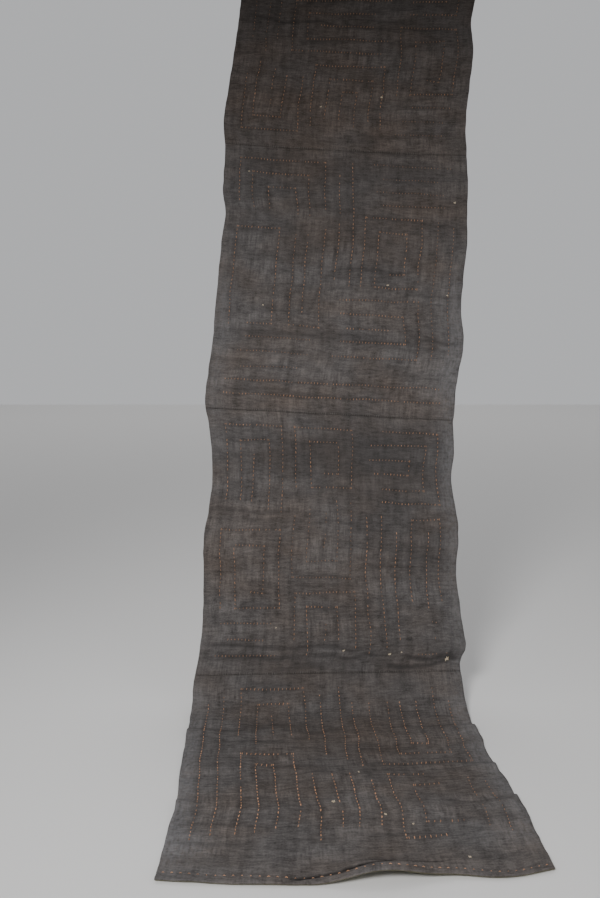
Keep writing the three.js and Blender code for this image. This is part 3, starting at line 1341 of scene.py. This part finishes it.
class ShaderGroups:
    """The shader node groups that several materials share, each built once."""

    DRIFT_CELLS = 90.0
    DRIFT = 0.0022
    DUST_CELLS = (190.0, 90.0)
    DUST_DETAIL = 4.0

    def __init__(self) -> None:
        """Builds every group."""
        self.weave = self._weave()
        self.slubs = self._slubs()
        self.wear = self._wear()

    @staticmethod
    def _new(name: str, numbers: dict[str, float], results: Iterable[str]) -> tuple[NodeSheet, Any, Any]:
        """A shader group that takes a place on the cloth and gives numbers.

        Args:
            name: The group's name.
            numbers: The numbers that it takes as well, with their defaults.
            results: The names of the numbers that it gives.

        Returns:
            The group's sheet, what it takes by name, and what it gives by name.
        """
        tree = bpy.data.node_groups.new(name, "ShaderNodeTree")
        face = tree.interface
        face.new_socket("Place", in_out="INPUT", socket_type="NodeSocketVector")
        for label, default in numbers.items():
            face.new_socket(label, in_out="INPUT", socket_type="NodeSocketFloat").default_value = default
        for label in results:
            face.new_socket(label, in_out="OUTPUT", socket_type="NodeSocketFloat")
        sheet = NodeSheet(tree)
        return sheet, sheet.add("NodeGroupInput").outputs, sheet.add("NodeGroupOutput").inputs

    def _weave(self) -> bpy.types.NodeTree:
        """Plain weave: strands that pass over and under one another, as a height from 0 to 1."""
        sheet, source, result = self._new("raffia_weave", {"Strand width": STRAND_WIDTH}, ["Height"])
        drift = sheet.add("ShaderNodeTexNoise", {"Vector": source["Place"], "Scale": self.DRIFT_CELLS})
        split = sheet.add("ShaderNodeSeparateXYZ", {0: source["Place"]})
        shift = sheet.maths("MULTIPLY", drift.outputs[0], self.DRIFT)
        ridges = []
        for axis in (0, 1):
            place = sheet.maths("ADD", split.outputs[axis], shift)
            turns = sheet.maths("DIVIDE", place, source["Strand width"])
            ridges.append(sheet.maths("SINE", sheet.maths("MULTIPLY", turns, math.pi)))
        parity = sheet.maths("GREATER_THAN", sheet.maths("MULTIPLY", ridges[0], ridges[1]), 0.0)
        warp = sheet.maths("MULTIPLY", sheet.maths("ABSOLUTE", ridges[0]), parity)
        rest = sheet.maths("SUBTRACT", 1.0, parity)
        weft = sheet.maths("MULTIPLY", sheet.maths("ABSOLUTE", ridges[1]), rest)
        sheet.feed(result["Height"], sheet.maths("ADD", warp, weft))
        return sheet.tree

    def _slubs(self) -> bpy.types.NodeTree:
        """The cloth's unevenness, from fine strands to wide clouds, each as a shade from 0 to 1."""
        sheet, source, result = self._new("raffia_slubs", {}, SLUBS)
        for number, (name, (across, down, detail)) in enumerate(SLUBS.items()):
            noise = sheet.noise(source["Place"], (across, down), detail, SLUB_SPACING * number)
            sheet.feed(result[name], sheet.span(noise, *SLUB_SPAN))
        return sheet.tree

    def _wear(self) -> bpy.types.NodeTree:
        """Dust that gathers where a mask says, broken up into specks and streaks."""
        sheet, source, result = self._new("raffia_wear", {"Mask": 0.0}, ["Dust"])
        specks = sheet.noise(source["Place"], self.DUST_CELLS, self.DUST_DETAIL)
        broken = sheet.span(specks, *DUST_SPAN)
        sheet.feed(result["Dust"], sheet.maths("MULTIPLY", broken, source["Mask"]))
        return sheet.tree


@dataclass(frozen=True)
class RaffiaFinish:
    """The look of a woven panel: its dyed strands, its tints and its relief. Some tints are painted shade:
    along the stitches, in the creases and the hem's creases, and in part of the dark patches.
    """

    name: str
    dark: Colour
    light: Colour
    warm: Colour
    dust: Colour
    undyed: Colour
    roughness: float
    strand_width: float

    ROUGHNESS_SWING = 0.06
    SHEEN = 0.28

    def material(self, groups: ShaderGroups) -> bpy.types.Material:
        """The finish as a material.

        Args:
            groups: The shared shader groups.

        Returns:
            The material, reading the sheet's UV map and tint masks.
        """
        material, sheet, shader = blank_material(self.name)
        flat = sheet.add("ShaderNodeUVMap", uv_map="cloth")
        size = (WIDTH * MM, CLOTH_LENGTH * MM, 0.0)
        scaled = sheet.add("ShaderNodeVectorMath", {0: flat.outputs[0], 1: size}, operation="MULTIPLY")
        place = scaled.outputs[0]
        masks = {
            kind: sheet.add("ShaderNodeAttribute", attribute_name=kind.value).outputs["Fac"]
            for kind in ClothAttribute
        }
        woven = {"Place": place, "Strand width": self.strand_width}
        worn = {"Place": place, "Mask": masks[ClothAttribute.DUST]}
        weave = sheet.add("ShaderNodeGroup", woven, node_tree=groups.weave).outputs["Height"]
        slubs = sheet.add("ShaderNodeGroup", {"Place": place}, node_tree=groups.slubs).outputs
        dust = sheet.add("ShaderNodeGroup", worn, node_tree=groups.wear).outputs["Dust"]
        bands = sheet.span(slubs["Bands"], *BAND_SPAN)
        ribs = sheet.maths("MULTIPLY", slubs["Rib"], bands)

        shades = {name: slubs[name] for name in SLUBS} | {"Rib": ribs, "Weave": weave}
        shade = SHADE_START
        for name, weight in SHADE_WEIGHTS.items():
            shade = sheet.maths("MULTIPLY_ADD", shades[name], weight, shade)
        colour = sheet.blend(shade, self.dark, self.light)
        cloud = sheet.span(slubs["Cloud"], *CLOUD_SPAN)
        warmth = sheet.maths("MULTIPLY_ADD", masks[ClothAttribute.WARM], WARMTH, cloud)
        tinted = sheet.blend(1.0, colour, self.warm, "MULTIPLY")
        tints = (
            (sheet.maths("MINIMUM", warmth, 1.0), tinted),
            # Dark patches: partly the cloth's own tone, partly painted shade.
            (sheet.maths("MULTIPLY", masks[ClothAttribute.DARK], DARKNESS), self.dark),
            (dust, self.dust),
            # Painted shade along the stitch lines, in their puckers and needle holes.
            (sheet.maths("MULTIPLY", masks[ClothAttribute.PULL], STITCH_PUCKER_SHADE), self.dark),
            # Painted shade in the creases.
            (sheet.maths("MULTIPLY", masks[ClothAttribute.CREASE], CREASE_SHADE_SHARE), self.dark),
            # Painted shadow, near black, in the front hem's deep creases.
            (masks[ClothAttribute.GAP], HEM_CREASE_SHADOW),
            (masks[ClothAttribute.RAW], self.undyed),
        )
        for share, tint in tints:
            colour = sheet.blend(share, colour, tint)
        swing = self.ROUGHNESS_SWING
        rough = sheet.span(shade, 0.0, 1.0, self.roughness + swing, self.roughness - swing)

        relief = sheet.maths("MULTIPLY_ADD", slubs["Strand"], STRAND_RELIEF, weave)
        relief = sheet.maths("MULTIPLY_ADD", ribs, RIB_RELIEF, relief)
        feeds = {"Strength": 1.0, "Distance": COARSE_RELIEF, "Height": slubs["Crinkle"]}
        coarse = sheet.add("ShaderNodeBump", feeds).outputs[0]
        feeds = {"Strength": FINE_STRENGTH, "Distance": FINE_RELIEF, "Height": relief, "Normal": coarse}
        fine = sheet.add("ShaderNodeBump", feeds).outputs[0]
        sheet.feed(shader.inputs["Base Color"], colour)
        sheet.feed(shader.inputs["Roughness"], rough)
        sheet.feed(shader.inputs["Specular IOR Level"], self.SHEEN)
        sheet.feed(shader.inputs["Normal"], fine)
        return material


@dataclass(frozen=True)
class ThreadFinish:
    """The look of sewing thread, which differs a little from stitch to stitch."""

    name: str
    dark: Colour
    light: Colour
    roughness: float

    SHEEN = 0.3

    def material(self) -> bpy.types.Material:
        """The finish as a material, reading each stitch's own tone."""
        material, sheet, shader = blank_material(self.name)
        tone = sheet.add("ShaderNodeAttribute", attribute_name=TONE).outputs["Fac"]
        sheet.feed(shader.inputs["Base Color"], sheet.blend(tone, self.dark, self.light))
        sheet.feed(shader.inputs["Roughness"], self.roughness)
        sheet.feed(shader.inputs["Specular IOR Level"], self.SHEEN)
        return material


TONE = "thread_tone"
NORMAL = "surface_normal"
SIZE = "stitch_size"
LINE_TONE = "line_tone"

GREY_RAFFIA = RaffiaFinish(
    name="raffia_grey",
    dark=(0.040, 0.036, 0.035, 1),
    light=(0.190, 0.175, 0.170, 1),
    warm=(1.0, 0.86, 0.75, 1),
    dust=(0.235, 0.235, 0.245, 1),
    undyed=(0.16, 0.145, 0.06, 1),
    roughness=0.88,
    strand_width=0.0013,
)
BROWN_RAFFIA = RaffiaFinish(
    name="raffia_brown",
    dark=(0.040, 0.035, 0.032, 1),
    light=(0.192, 0.171, 0.163, 1),
    warm=(1.0, 0.87, 0.77, 1),
    dust=(0.2, 0.195, 0.195, 1),
    undyed=(0.16, 0.145, 0.06, 1),
    roughness=0.88,
    strand_width=0.0013,
)
STITCH_THREAD = ThreadFinish(
    name="stitch_thread",
    dark=(0.17, 0.095, 0.057, 1),
    light=(0.62, 0.34, 0.2, 1),
    roughness=0.7,
)
SEAM_THREAD = ThreadFinish(
    name="seam_thread",
    dark=(0.075, 0.066, 0.06, 1),
    light=(0.15, 0.136, 0.128, 1),
    roughness=0.88,
)
KNOT_THREAD = ThreadFinish(
    name="knot_thread",
    dark=(0.36, 0.28, 0.18, 1),
    light=(0.70, 0.60, 0.45, 1),
    roughness=0.7,
)


@dataclass(frozen=True)
class StitchStyle:
    """The sizes of one kind of stitch, in millimetres, and its turn off the sewn line in radians."""

    pitch: float
    length: float
    width: float
    rise: float
    unevenness: float
    turn: float = 0.0
    missing: float = 0.03


RUNNING = {
    Way.DOWN: StitchStyle(pitch=9.8, length=5.6, width=1.85, rise=0.9, unevenness=0.35),
    Way.ACROSS: StitchStyle(pitch=7.8, length=4.2, width=1.9, rise=0.7, unevenness=0.4, turn=1.35),
}
FOOT_RUNNING = {
    Way.DOWN: StitchStyle(pitch=9.4, length=4.4, width=2.0, rise=0.8, unevenness=0.4),
    Way.ACROSS: StitchStyle(pitch=9.0, length=6.0, width=1.8, rise=0.9, unevenness=0.4, turn=1.35),
}
HEM = StitchStyle(pitch=13.2, length=3.2, width=1.3, rise=0.7, unevenness=0.45)
SEAM = StitchStyle(pitch=5.4, length=5.0, width=1.8, rise=0.5, unevenness=0.35, turn=math.pi / 2)


class StitchTree:
    """The Geometry Nodes tree that sews a line of stitches along each edge chain of a mesh."""

    SIDES = 5
    STEPS = 5
    SWAY = 0.22
    TONES = (0.35, 1.1)
    ARCH_LIFT = 1.5
    ARCH_SUNK = -0.5
    MIDDLE_SWELL = 0.55
    END_RADIUS = 0.45
    SOCKETS = {
        "Pitch": "NodeSocketFloat",
        "Length": "NodeSocketFloat",
        "Width": "NodeSocketFloat",
        "Rise": "NodeSocketFloat",
        "Unevenness": "NodeSocketFloat",
        "Turn": "NodeSocketFloat",
        "Missing": "NodeSocketFloat",
        "Seed": "NodeSocketInt",
        "Thread": "NodeSocketMaterial",
    }

    def __init__(self) -> None:
        """Builds the tree with its named inputs."""
        self.tree = bpy.data.node_groups.new("stitches", "GeometryNodeTree")
        self.sheet = NodeSheet(self.tree)
        face = self.tree.interface
        face.new_socket("Geometry", in_out="INPUT", socket_type="NodeSocketGeometry")
        self.inputs = {
            name: face.new_socket(name, in_out="INPUT", socket_type=kind).identifier
            for name, kind in self.SOCKETS.items()
        }
        face.new_socket("Geometry", in_out="OUTPUT", socket_type="NodeSocketGeometry")
        self._wire()

    def _random(self, low: Any, high: Any, seed: Any, step: int) -> bpy.types.NodeSocket:
        """An even random number for each point, from low to high.

        Args:
            low: The least number.
            high: The greatest number.
            seed: The stitches' seed.
            step: What is added to the seed, so that each use draws other numbers.

        Returns:
            The number.
        """
        node = self.sheet.add("FunctionNodeRandomValue", data_type="FLOAT")
        floats = [socket for socket in node.inputs if socket.type == "VALUE"]
        self.sheet.feed(floats[0], low)
        self.sheet.feed(floats[1], high)
        self.sheet.feed(node.inputs["Seed"], self.sheet.maths("ADD", seed, step))
        return [socket for socket in node.outputs if socket.type == "VALUE"][0]

    def _attribute(self, name: str, kind: str = "FLOAT") -> bpy.types.NodeSocket:
        """A named attribute of the sewn lines."""
        node = self.sheet.add("GeometryNodeInputNamedAttribute", data_type=kind)
        self.sheet.feed(node.inputs["Name"], name)
        return node.outputs["Attribute"]

    def _stitch(self, source: Any) -> bpy.types.NodeSocket:
        """One stitch along the x axis, a strand that rises out of the cloth and dives back.

        Args:
            source: The tree's inputs by name.

        Returns:
            The stitch's mesh.
        """
        add = self.sheet.add
        maths = self.sheet.maths
        half = maths("MULTIPLY", source["Length"], 0.5)
        start = self.sheet.vector(X=maths("MULTIPLY", half, -1.0))
        ends = {"Start": start, "End": self.sheet.vector(X=half)}
        line = add("GeometryNodeCurvePrimitiveLine", ends, mode="POINTS").outputs[0]
        steps = {"Curve": line, "Count": self.STEPS}
        finer = add("GeometryNodeResampleCurve", steps, mode="COUNT").outputs[0]
        share = add("GeometryNodeSplineParameter").outputs["Factor"]
        arch = maths("SINE", maths("MULTIPLY", share, math.pi))
        sunk = maths("MULTIPLY_ADD", arch, self.ARCH_LIFT, self.ARCH_SUNK)
        lift = self.sheet.vector(Z=maths("MULTIPLY", sunk, source["Rise"]))
        moved = add("GeometryNodeSetPosition", {"Geometry": finer, "Offset": lift}).outputs[0]
        radius = maths("MULTIPLY_ADD", arch, self.MIDDLE_SWELL, self.END_RADIUS)
        thickness = {"Curve": moved, "Radius": radius}
        tapered = add("GeometryNodeSetCurveRadius", thickness).outputs[0]
        circle = {"Resolution": self.SIDES, "Radius": maths("MULTIPLY", source["Width"], 0.5)}
        ring = add("GeometryNodeCurvePrimitiveCircle", circle, mode="RADIUS").outputs[0]
        strand = add("GeometryNodeCurveToMesh", {"Curve": tapered, "Profile Curve": ring})
        if "Scale" in strand.inputs:
            self.sheet.feed(strand.inputs["Scale"], add("GeometryNodeInputRadius").outputs[0])
        return add("GeometryNodeSetShadeSmooth", {0: strand.outputs[0]}).outputs[0]

    def _facing(self, source: Any) -> bpy.types.NodeSocket:
        """How each stitch is turned: along its line, out of the cloth, and a little off.

        Args:
            source: The tree's inputs by name.

        Returns:
            The rotation.
        """
        add = self.sheet.add
        tangent = add("GeometryNodeInputTangent").outputs[0]
        align = "FunctionNodeAlignRotationToVector"
        on_line = add(align, {"Vector": tangent}, axis="X", pivot_axis="AUTO").outputs[0]
        upright = {"Rotation": on_line, "Vector": self._attribute(NORMAL, "FLOAT_VECTOR")}
        on_cloth = add(align, upright, axis="Z", pivot_axis="X").outputs[0]
        sway = self._random(-self.SWAY, self.SWAY, source["Seed"], 1)
        off = {"Axis": (0.0, 0.0, 1.0), "Angle": self.sheet.maths("ADD", source["Turn"], sway)}
        turn = add("FunctionNodeAxisAngleToRotation", off).outputs[0]
        return add("FunctionNodeRotateRotation", {0: on_cloth, 1: turn}, rotation_space="LOCAL").outputs[0]

    def _wire(self) -> None:
        """Wires the tree from the sewn lines to the finished stitches."""
        add = self.sheet.add
        maths = self.sheet.maths
        source = add("NodeGroupInput").outputs
        seed = source["Seed"]
        lines = add("GeometryNodeMeshToCurve", {"Mesh": source["Geometry"]}).outputs[0]
        spacing = {"Curve": lines, "Length": source["Pitch"]}
        spaced = add("GeometryNodeResampleCurve", spacing, mode="LENGTH").outputs[0]
        low = maths("SUBTRACT", 1.0, source["Unevenness"])
        high = maths("ADD", 1.0, source["Unevenness"])
        size = self._attribute(SIZE)
        longer = maths("MULTIPLY", self._random(low, high, seed, 2), size)
        thicker = maths("MULTIPLY", self._random(low, high, seed, 3), size)
        feeds = {
            "Points": spaced,
            "Selection": maths("GREATER_THAN", self._random(0.0, 1.0, seed, 4), source["Missing"]),
            "Instance": self._stitch(source),
            "Rotation": self._facing(source),
            "Scale": self.sheet.vector(X=longer, Y=thicker, Z=1.0),
        }
        copies = add("GeometryNodeInstanceOnPoints", feeds).outputs[0]
        tone = maths("MULTIPLY", self._random(*self.TONES, seed, 5), self._attribute(LINE_TONE))
        feeds = {"Geometry": copies, "Name": TONE, "Value": tone}
        toned = add("GeometryNodeStoreNamedAttribute", feeds, data_type="FLOAT", domain="INSTANCE")
        real = add("GeometryNodeRealizeInstances", {0: toned.outputs[0]}).outputs[0]
        thread = add("GeometryNodeSetMaterial", {"Geometry": real, "Material": source["Thread"]})
        add("NodeGroupOutput", {0: thread.outputs[0]})

    def sew(
        self,
        name: str,
        lines: bpy.types.Mesh,
        style: StitchStyle,
        thread: bpy.types.Material,
        seed: int,
    ) -> bpy.types.Object:
        """Stitches along a mesh's edge chains, as a plain mesh.

        Args:
            name: The name of the sewing.
            lines: Edge chains that lie on the cloth, with its normal and the stitches' size.
            style: The stitch's sizes.
            thread: The thread's material.
            seed: The seed of the stitches' unevenness.

        Returns:
            The sewing as an object.
        """
        carrier = plain_object(name + "_lines", lines)
        modifier = carrier.modifiers.new("stitches", "NODES")
        modifier.node_group = self.tree
        values = {name: getattr(style, name.lower()) * MM for name in ("Pitch", "Length", "Width", "Rise")}
        values |= {name: getattr(style, name.lower()) for name in ("Unevenness", "Turn", "Missing")}
        values |= {"Seed": seed, "Thread": thread}
        for socket, value in values.items():
            modifier[self.inputs[socket]] = value
        graph = bpy.context.evaluated_depsgraph_get()
        mesh = bpy.data.meshes.new_from_object(carrier.evaluated_get(graph), depsgraph=graph)
        bpy.data.objects.remove(carrier)
        mesh.name = name
        sewing = plain_object(name, mesh)
        LOG.info("%s: %d faces", name, len(mesh.polygons))
        return sewing


class Sewing:
    """The sewing on the cloth: the maze, the seams and the hems."""

    LIFT = 0.3
    MARGIN = 11.0
    ROW_WOBBLE = 1.2

    def __init__(self, form: ClothForm, pattern: Pattern, tree: StitchTree) -> None:
        """Keeps what the sewing lies on.

        Args:
            form: The cloth's shape.
            pattern: The maze's lines.
            tree: The stitch tree.
        """
        self.form = form
        self.pattern = pattern
        self.tree = tree

    def _chains(self, name: str, panel: PanelSpan, lines: Sequence[FlatLine]) -> bpy.types.Mesh:
        """Edge chains on a panel's front face.

        Args:
            name: The mesh's name.
            panel: The panel they lie on.
            lines: The sewn lines.

        Returns:
            A mesh of edges with the cloth's normal and the stitches' size at each point.
        """
        points, normals, sizes, tones, edges = [], [], [], [], []
        count = 0
        for line in lines:
            u = line.x / WIDTH * 2 - 1
            height = base_height(panel, line.v) + THICKNESS + self.LIFT
            points.append(self.form.points(line.v, u, height))
            normals.append(self.form.normals(line.v, u))
            sizes.append(np.full(len(line.v), line.weight))
            tones.append(np.full(len(line.v), line.tone))
            first = np.arange(count, count + len(line.v) - 1)
            edges.append(np.stack([first, first + 1], axis=-1))
            count += len(line.v)
        mesh = bpy.data.meshes.new(name)
        mesh.from_pydata(np.concatenate(points).tolist(), np.concatenate(edges).tolist(), [])
        layer = mesh.attributes.new(NORMAL, "FLOAT_VECTOR", "POINT")
        layer.data.foreach_set("vector", np.concatenate(normals).astype(np.float32).ravel())
        store(mesh, SIZE, np.concatenate(sizes))
        store(mesh, LINE_TONE, np.concatenate(tones))
        return mesh

    def maze(self, panel: PanelSpan, way: Way, thread: bpy.types.Material, seed: int) -> bpy.types.Object:
        """The running stitches of one panel that run one way.

        Args:
            panel: The panel.
            way: The way the stitches run.
            thread: The thread's material.
            seed: The seed of their unevenness.

        Returns:
            The stitches as an object.
        """
        name = panel.name.replace("panel", "stitches") + "_" + way.value
        lines = self._chains(name, panel, self.pattern.lines[(panel.name, way)])
        styles = FOOT_RUNNING if panel.end == CLOTH_LENGTH else RUNNING
        return self.tree.sew(name, lines, styles[way], thread, seed)

    def row(self, row: "SewnRow", thread: bpy.types.Material) -> bpy.types.Object:
        """A row of stitches across a panel.

        Args:
            row: The row.
            thread: The thread's material.

        Returns:
            The row as an object.
        """
        middle = (WIDTH / 2, (row.left + row.right) / 2)
        places = [(self.MARGIN, row.left), middle, (WIDTH - self.MARGIN, row.right)]
        pairs = zip(places, places[1:])
        lines = [FlatLine(start, end, 1.0, wobble=self.ROW_WOBBLE) for start, end in pairs]
        chains = self._chains(row.name, row.panel, lines)
        return self.tree.sew(row.name, chains, row.style, thread, row.seed)


@dataclass(frozen=True)
class SewnRow:
    """A row of stitches from edge to edge, with its stations at the left and the right."""

    name: str
    panel: PanelSpan
    left: float
    right: float
    style: StitchStyle
    slot: str
    seed: int


HEM_ROWS = (
    SewnRow("hem_stitches_top", PANELS[0], 17, 17, HEM, "stitch_thread", 150),
    SewnRow("hem_stitches_front", PANELS[-1], 2556, 2562, HEM, "stitch_thread", 160),
)
SEAM_INSET = 1.2
MAZE_SEED = 100
PANEL_SEED_STEP = 20
WAY_SEED_STEP = 10
SEAM_SEED = 170
SEAM_ROWS = tuple(
    SewnRow(
        panel.name.replace("panel", "seam_below"),
        panel,
        panel.end - SEAM_INSET,
        panel.end - SEAM_INSET,
        SEAM,
        panel.slot,
        SEAM_SEED + number,
    )
    for number, panel in enumerate(PANELS[:-1])
)


class ThreadEnds:
    """The cream ends of thread that are tied off on the cloth's front."""

    STRANDS = 9
    STEPS = 6
    SIDES = 5
    RADIUS = 1.15
    LENGTH = 3.3
    ARCH = 2.0
    LIFT = 0.4
    SEED = 77
    HEADING = 0.9
    BEND = 1.3
    LENGTHS = (0.5, 1.1)
    ARCHES = (0.4, 1.0)
    ARCH_PART = 0.9
    ROOT = 1.05
    TAPER = 0.6
    TONES = (0.2, 1.0)

    def __init__(self, form: ClothForm) -> None:
        """Keeps the cloth's shape.

        Args:
            form: The cloth's shape.
        """
        self.form = form
        self.random = np.random.default_rng(self.SEED)

    def _strand(self, x: float, v: float, size: float) -> tuple[Array, Array]:
        """One loose end that curls away from its knot.

        Args:
            x: The knot's distance from the left edge.
            v: The knot's station.
            size: The knot's size beside the usual one.

        Returns:
            The points of its rings and its faces.
        """
        share = np.linspace(0, 1, self.STEPS)
        heading = self.random.uniform(-self.HEADING, self.HEADING) + self.random.choice([0.0, math.pi])
        bend = self.random.uniform(-self.BEND, self.BEND)
        length = self.LENGTH * size * self.random.uniform(*self.LENGTHS)
        angle = heading + bend * share
        along_x = x + np.cumsum(np.cos(angle)) * length / self.STEPS
        along_v = v + np.cumsum(np.sin(angle)) * length / self.STEPS
        u = along_x / WIDTH * 2 - 1
        rise = np.sin(math.pi * share * self.ARCH_PART)
        arch = self.ARCH * size * rise * self.random.uniform(*self.ARCHES)
        centre = self.form.points(along_v, u, THICKNESS + self.LIFT + arch)
        normal = self.form.normals(along_v, u)
        forward = np.gradient(centre, axis=0)
        forward /= np.linalg.norm(forward, axis=-1, keepdims=True)
        side = np.cross(forward, normal)
        side /= np.linalg.norm(side, axis=-1, keepdims=True)
        up = np.cross(side, forward)
        ring = np.arange(self.SIDES) / self.SIDES * 2 * math.pi
        radius = self.RADIUS * MM * math.sqrt(size) * (self.ROOT - self.TAPER * share)
        circle = np.cos(ring)[None, :, None] * side[:, None] + np.sin(ring)[None, :, None] * up[:, None]
        points = centre[:, None] + radius[:, None, None] * circle
        number = np.arange(self.STEPS * self.SIDES).reshape(self.STEPS, self.SIDES)
        after = np.roll(number, -1, axis=1)
        faces = np.stack([number[:-1], number[1:], after[1:], after[:-1]], axis=-1)
        return points.reshape(-1, 3), faces.reshape(-1, 4)

    def build(self, thread: bpy.types.Material) -> bpy.types.Object:
        """All thread ends as one piece.

        Args:
            thread: The thread's material.

        Returns:
            The object.
        """
        points, faces, tones = [], [], []
        count = 0
        for x, v, size in KNOTS:
            for _ in range(self.STRANDS):
                strand, quads = self._strand(x, v, size)
                points.append(strand)
                faces.extend((quads + count).tolist())
                tones.append(np.full(len(strand), self.random.uniform(*self.TONES)))
                count += len(strand)
        mesh = bpy.data.meshes.new("thread_ends")
        mesh.from_pydata(np.concatenate(points).tolist(), [], faces)
        mesh.shade_smooth()
        store(mesh, TONE, np.concatenate(tones))
        mesh.materials.append(thread)
        return plain_object("thread_ends", mesh)


@dataclass(frozen=True)
class Lamp:
    """A light of the studio: its watts, its size in metres, its place and what it points at."""

    name: str
    kind: str
    watts: float
    size: float
    place: tuple[float, float, float]
    aim: tuple[float, float, float]


LAMPS = (
    Lamp("key", "SPOT", 270, 0.4, (-1.0, -2.2, 2.1), (0.0, -0.1, 0.25)),
    Lamp("fill", "AREA", 12, 1.6, (2.0, -1.8, 0.9), (0.0, -0.1, 0.4)),
    Lamp("floor_wash", "AREA", 520, 20.0, (0.0, 12.0, 7.0), (0.0, 12.0, 0.0)),
)
BEAM = math.radians(66)
FLOOR_GAP = 0.0004


class Studio:
    """The plain floor, the soft light and the camera of the photo."""

    CAMERA_PLACE = (-0.1170, -1.4947, 0.7775)
    PITCH_DOWN = 6.5
    FOCAL_PIXELS = 700.0
    PHOTO_HEIGHT = 898.0
    SENSOR = 36.0
    SKY = (0.95, 0.96, 0.98, 1)
    FRONT_GLOW = 0.13
    BACK_GLOW = 0.55
    GLOW_TURN = (-0.35, 0.5)
    FLOOR_HALF = 14.0
    FLOOR_PAINT = (0.8, 0.79, 0.78, 1)
    FLOOR_ROUGHNESS = 0.9

    def floor(self, z: float) -> bpy.types.Object:
        """A wide pale floor just under the cloth.

        Args:
            z: The floor's height.

        Returns:
            The floor.
        """
        half = self.FLOOR_HALF
        corners = [(-half, -half, z), (half, -half, z), (half, half, z), (-half, half, z)]
        mesh = bpy.data.meshes.new("floor")
        mesh.from_pydata(corners, [], [(0, 1, 2, 3)])
        material, sheet, shader = blank_material("floor")
        sheet.feed(shader.inputs["Base Color"], self.FLOOR_PAINT)
        sheet.feed(shader.inputs["Roughness"], self.FLOOR_ROUGHNESS)
        mesh.materials.append(material)
        return plain_object("floor", mesh)

    @staticmethod
    def _lit(lamp: Lamp) -> None:
        """Puts a lamp in the scene."""
        data = bpy.data.lights.new(lamp.name, lamp.kind)
        data.energy = lamp.watts
        if lamp.kind == "SPOT":
            data.spot_size = BEAM
            data.spot_blend = 1.0
            data.shadow_soft_size = lamp.size
        else:
            data.size = lamp.size
        light = bpy.data.objects.new(lamp.name, data)
        light.location = lamp.place
        light.rotation_euler = (Vector(lamp.aim) - Vector(lamp.place)).to_track_quat("-Z", "Y").to_euler()
        bpy.context.scene.collection.objects.link(light)

    def lights(self) -> None:
        """A soft beam from the upper left, a weak fill, a wash on the floor behind and a pale surround."""
        for lamp in LAMPS:
            self._lit(lamp)
        world = bpy.data.worlds.new("studio")
        world.use_nodes = True
        sheet = NodeSheet(world.node_tree)
        heading = sheet.add("ShaderNodeTexCoord").outputs["Generated"]
        split = sheet.add("ShaderNodeSeparateXYZ", {0: heading})
        backdrop = world.node_tree.nodes["Background"]
        sheet.feed(backdrop.inputs[0], self.SKY)
        glow = sheet.span(split.outputs[1], *self.GLOW_TURN, self.FRONT_GLOW, self.BACK_GLOW)
        sheet.feed(backdrop.inputs[1], glow)
        bpy.context.scene.world = world

    def camera(self) -> None:
        """The camera at the place and angle of the photo's."""
        data = bpy.data.cameras.new("camera")
        data.sensor_width = self.SENSOR
        data.lens = self.FOCAL_PIXELS / self.PHOTO_HEIGHT * self.SENSOR
        camera = bpy.data.objects.new("camera", data)
        camera.location = self.CAMERA_PLACE
        camera.rotation_euler = (math.radians(90 - self.PITCH_DOWN), 0, 0)
        bpy.context.scene.collection.objects.link(camera)
        bpy.context.scene.camera = camera


def declare(sheet: bpy.types.Object, panel: PanelSpan) -> None:
    """Args:
        sheet: The panel's sheet.
        panel: The panel's span.
    """
    length = panel.end - panel.start
    length += LAP if panel.start > 0 else HEM_DEPTH
    length += HEM_DEPTH if panel.end == CLOTH_LENGTH else 0
    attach(sheet, "root")
    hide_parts(panel.name)


def main() -> None:
    """Builds the cloth piece by piece, then the studio."""
    logging.basicConfig(level=logging.INFO, format="%(message)s")
    pattern = Pattern()
    form = ClothForm(pattern)
    groups = ShaderGroups()
    raffia = {
        "raffia_grey": GREY_RAFFIA.material(groups),
        "raffia_brown": BROWN_RAFFIA.material(groups),
    }
    orange = STITCH_THREAD.material()
    cream = KNOT_THREAD.material()
    tree = StitchTree()
    sewing = Sewing(form, pattern, tree)

    sheets = {}
    for panel in PANELS:
        sheet = PanelSheet(panel, form).build()
        sheet.data.materials.append(raffia[panel.slot])
        sheets[panel.name] = sheet

    on_panel: dict[str, list[bpy.types.Object]] = {panel.name: [] for panel in PANELS}
    for number, panel in enumerate(PANELS):
        for step, way in enumerate(Way):
            seed = MAZE_SEED + PANEL_SEED_STEP * number + WAY_SEED_STEP * step
            maze = sewing.maze(panel, way, orange, seed)
            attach(maze, "root")
            on_panel[panel.name].append(maze)

    plain = SEAM_THREAD.material()
    threads = {"stitch_thread": orange, "raffia_grey": plain, "raffia_brown": plain}
    for row in HEM_ROWS + SEAM_ROWS:
        stitches = sewing.row(row, threads[row.slot])
        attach(stitches, "root")
        on_panel[row.panel.name].append(stitches)

    ends = ThreadEnds(form).build(cream)
    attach(ends, "root")
    on_panel["panel_lower"].append(ends)

    for panel in PANELS:
        declare(sheets[panel.name], panel)

    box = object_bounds()
    studio = Studio()
    floor = studio.floor(box[0][2] - FLOOR_GAP)
    studio.lights()
    studio.camera()
    LOG.info("visual box %s", [[round(number, 4) for number in corner] for corner in box])


if __name__ == "__main__":
    main()
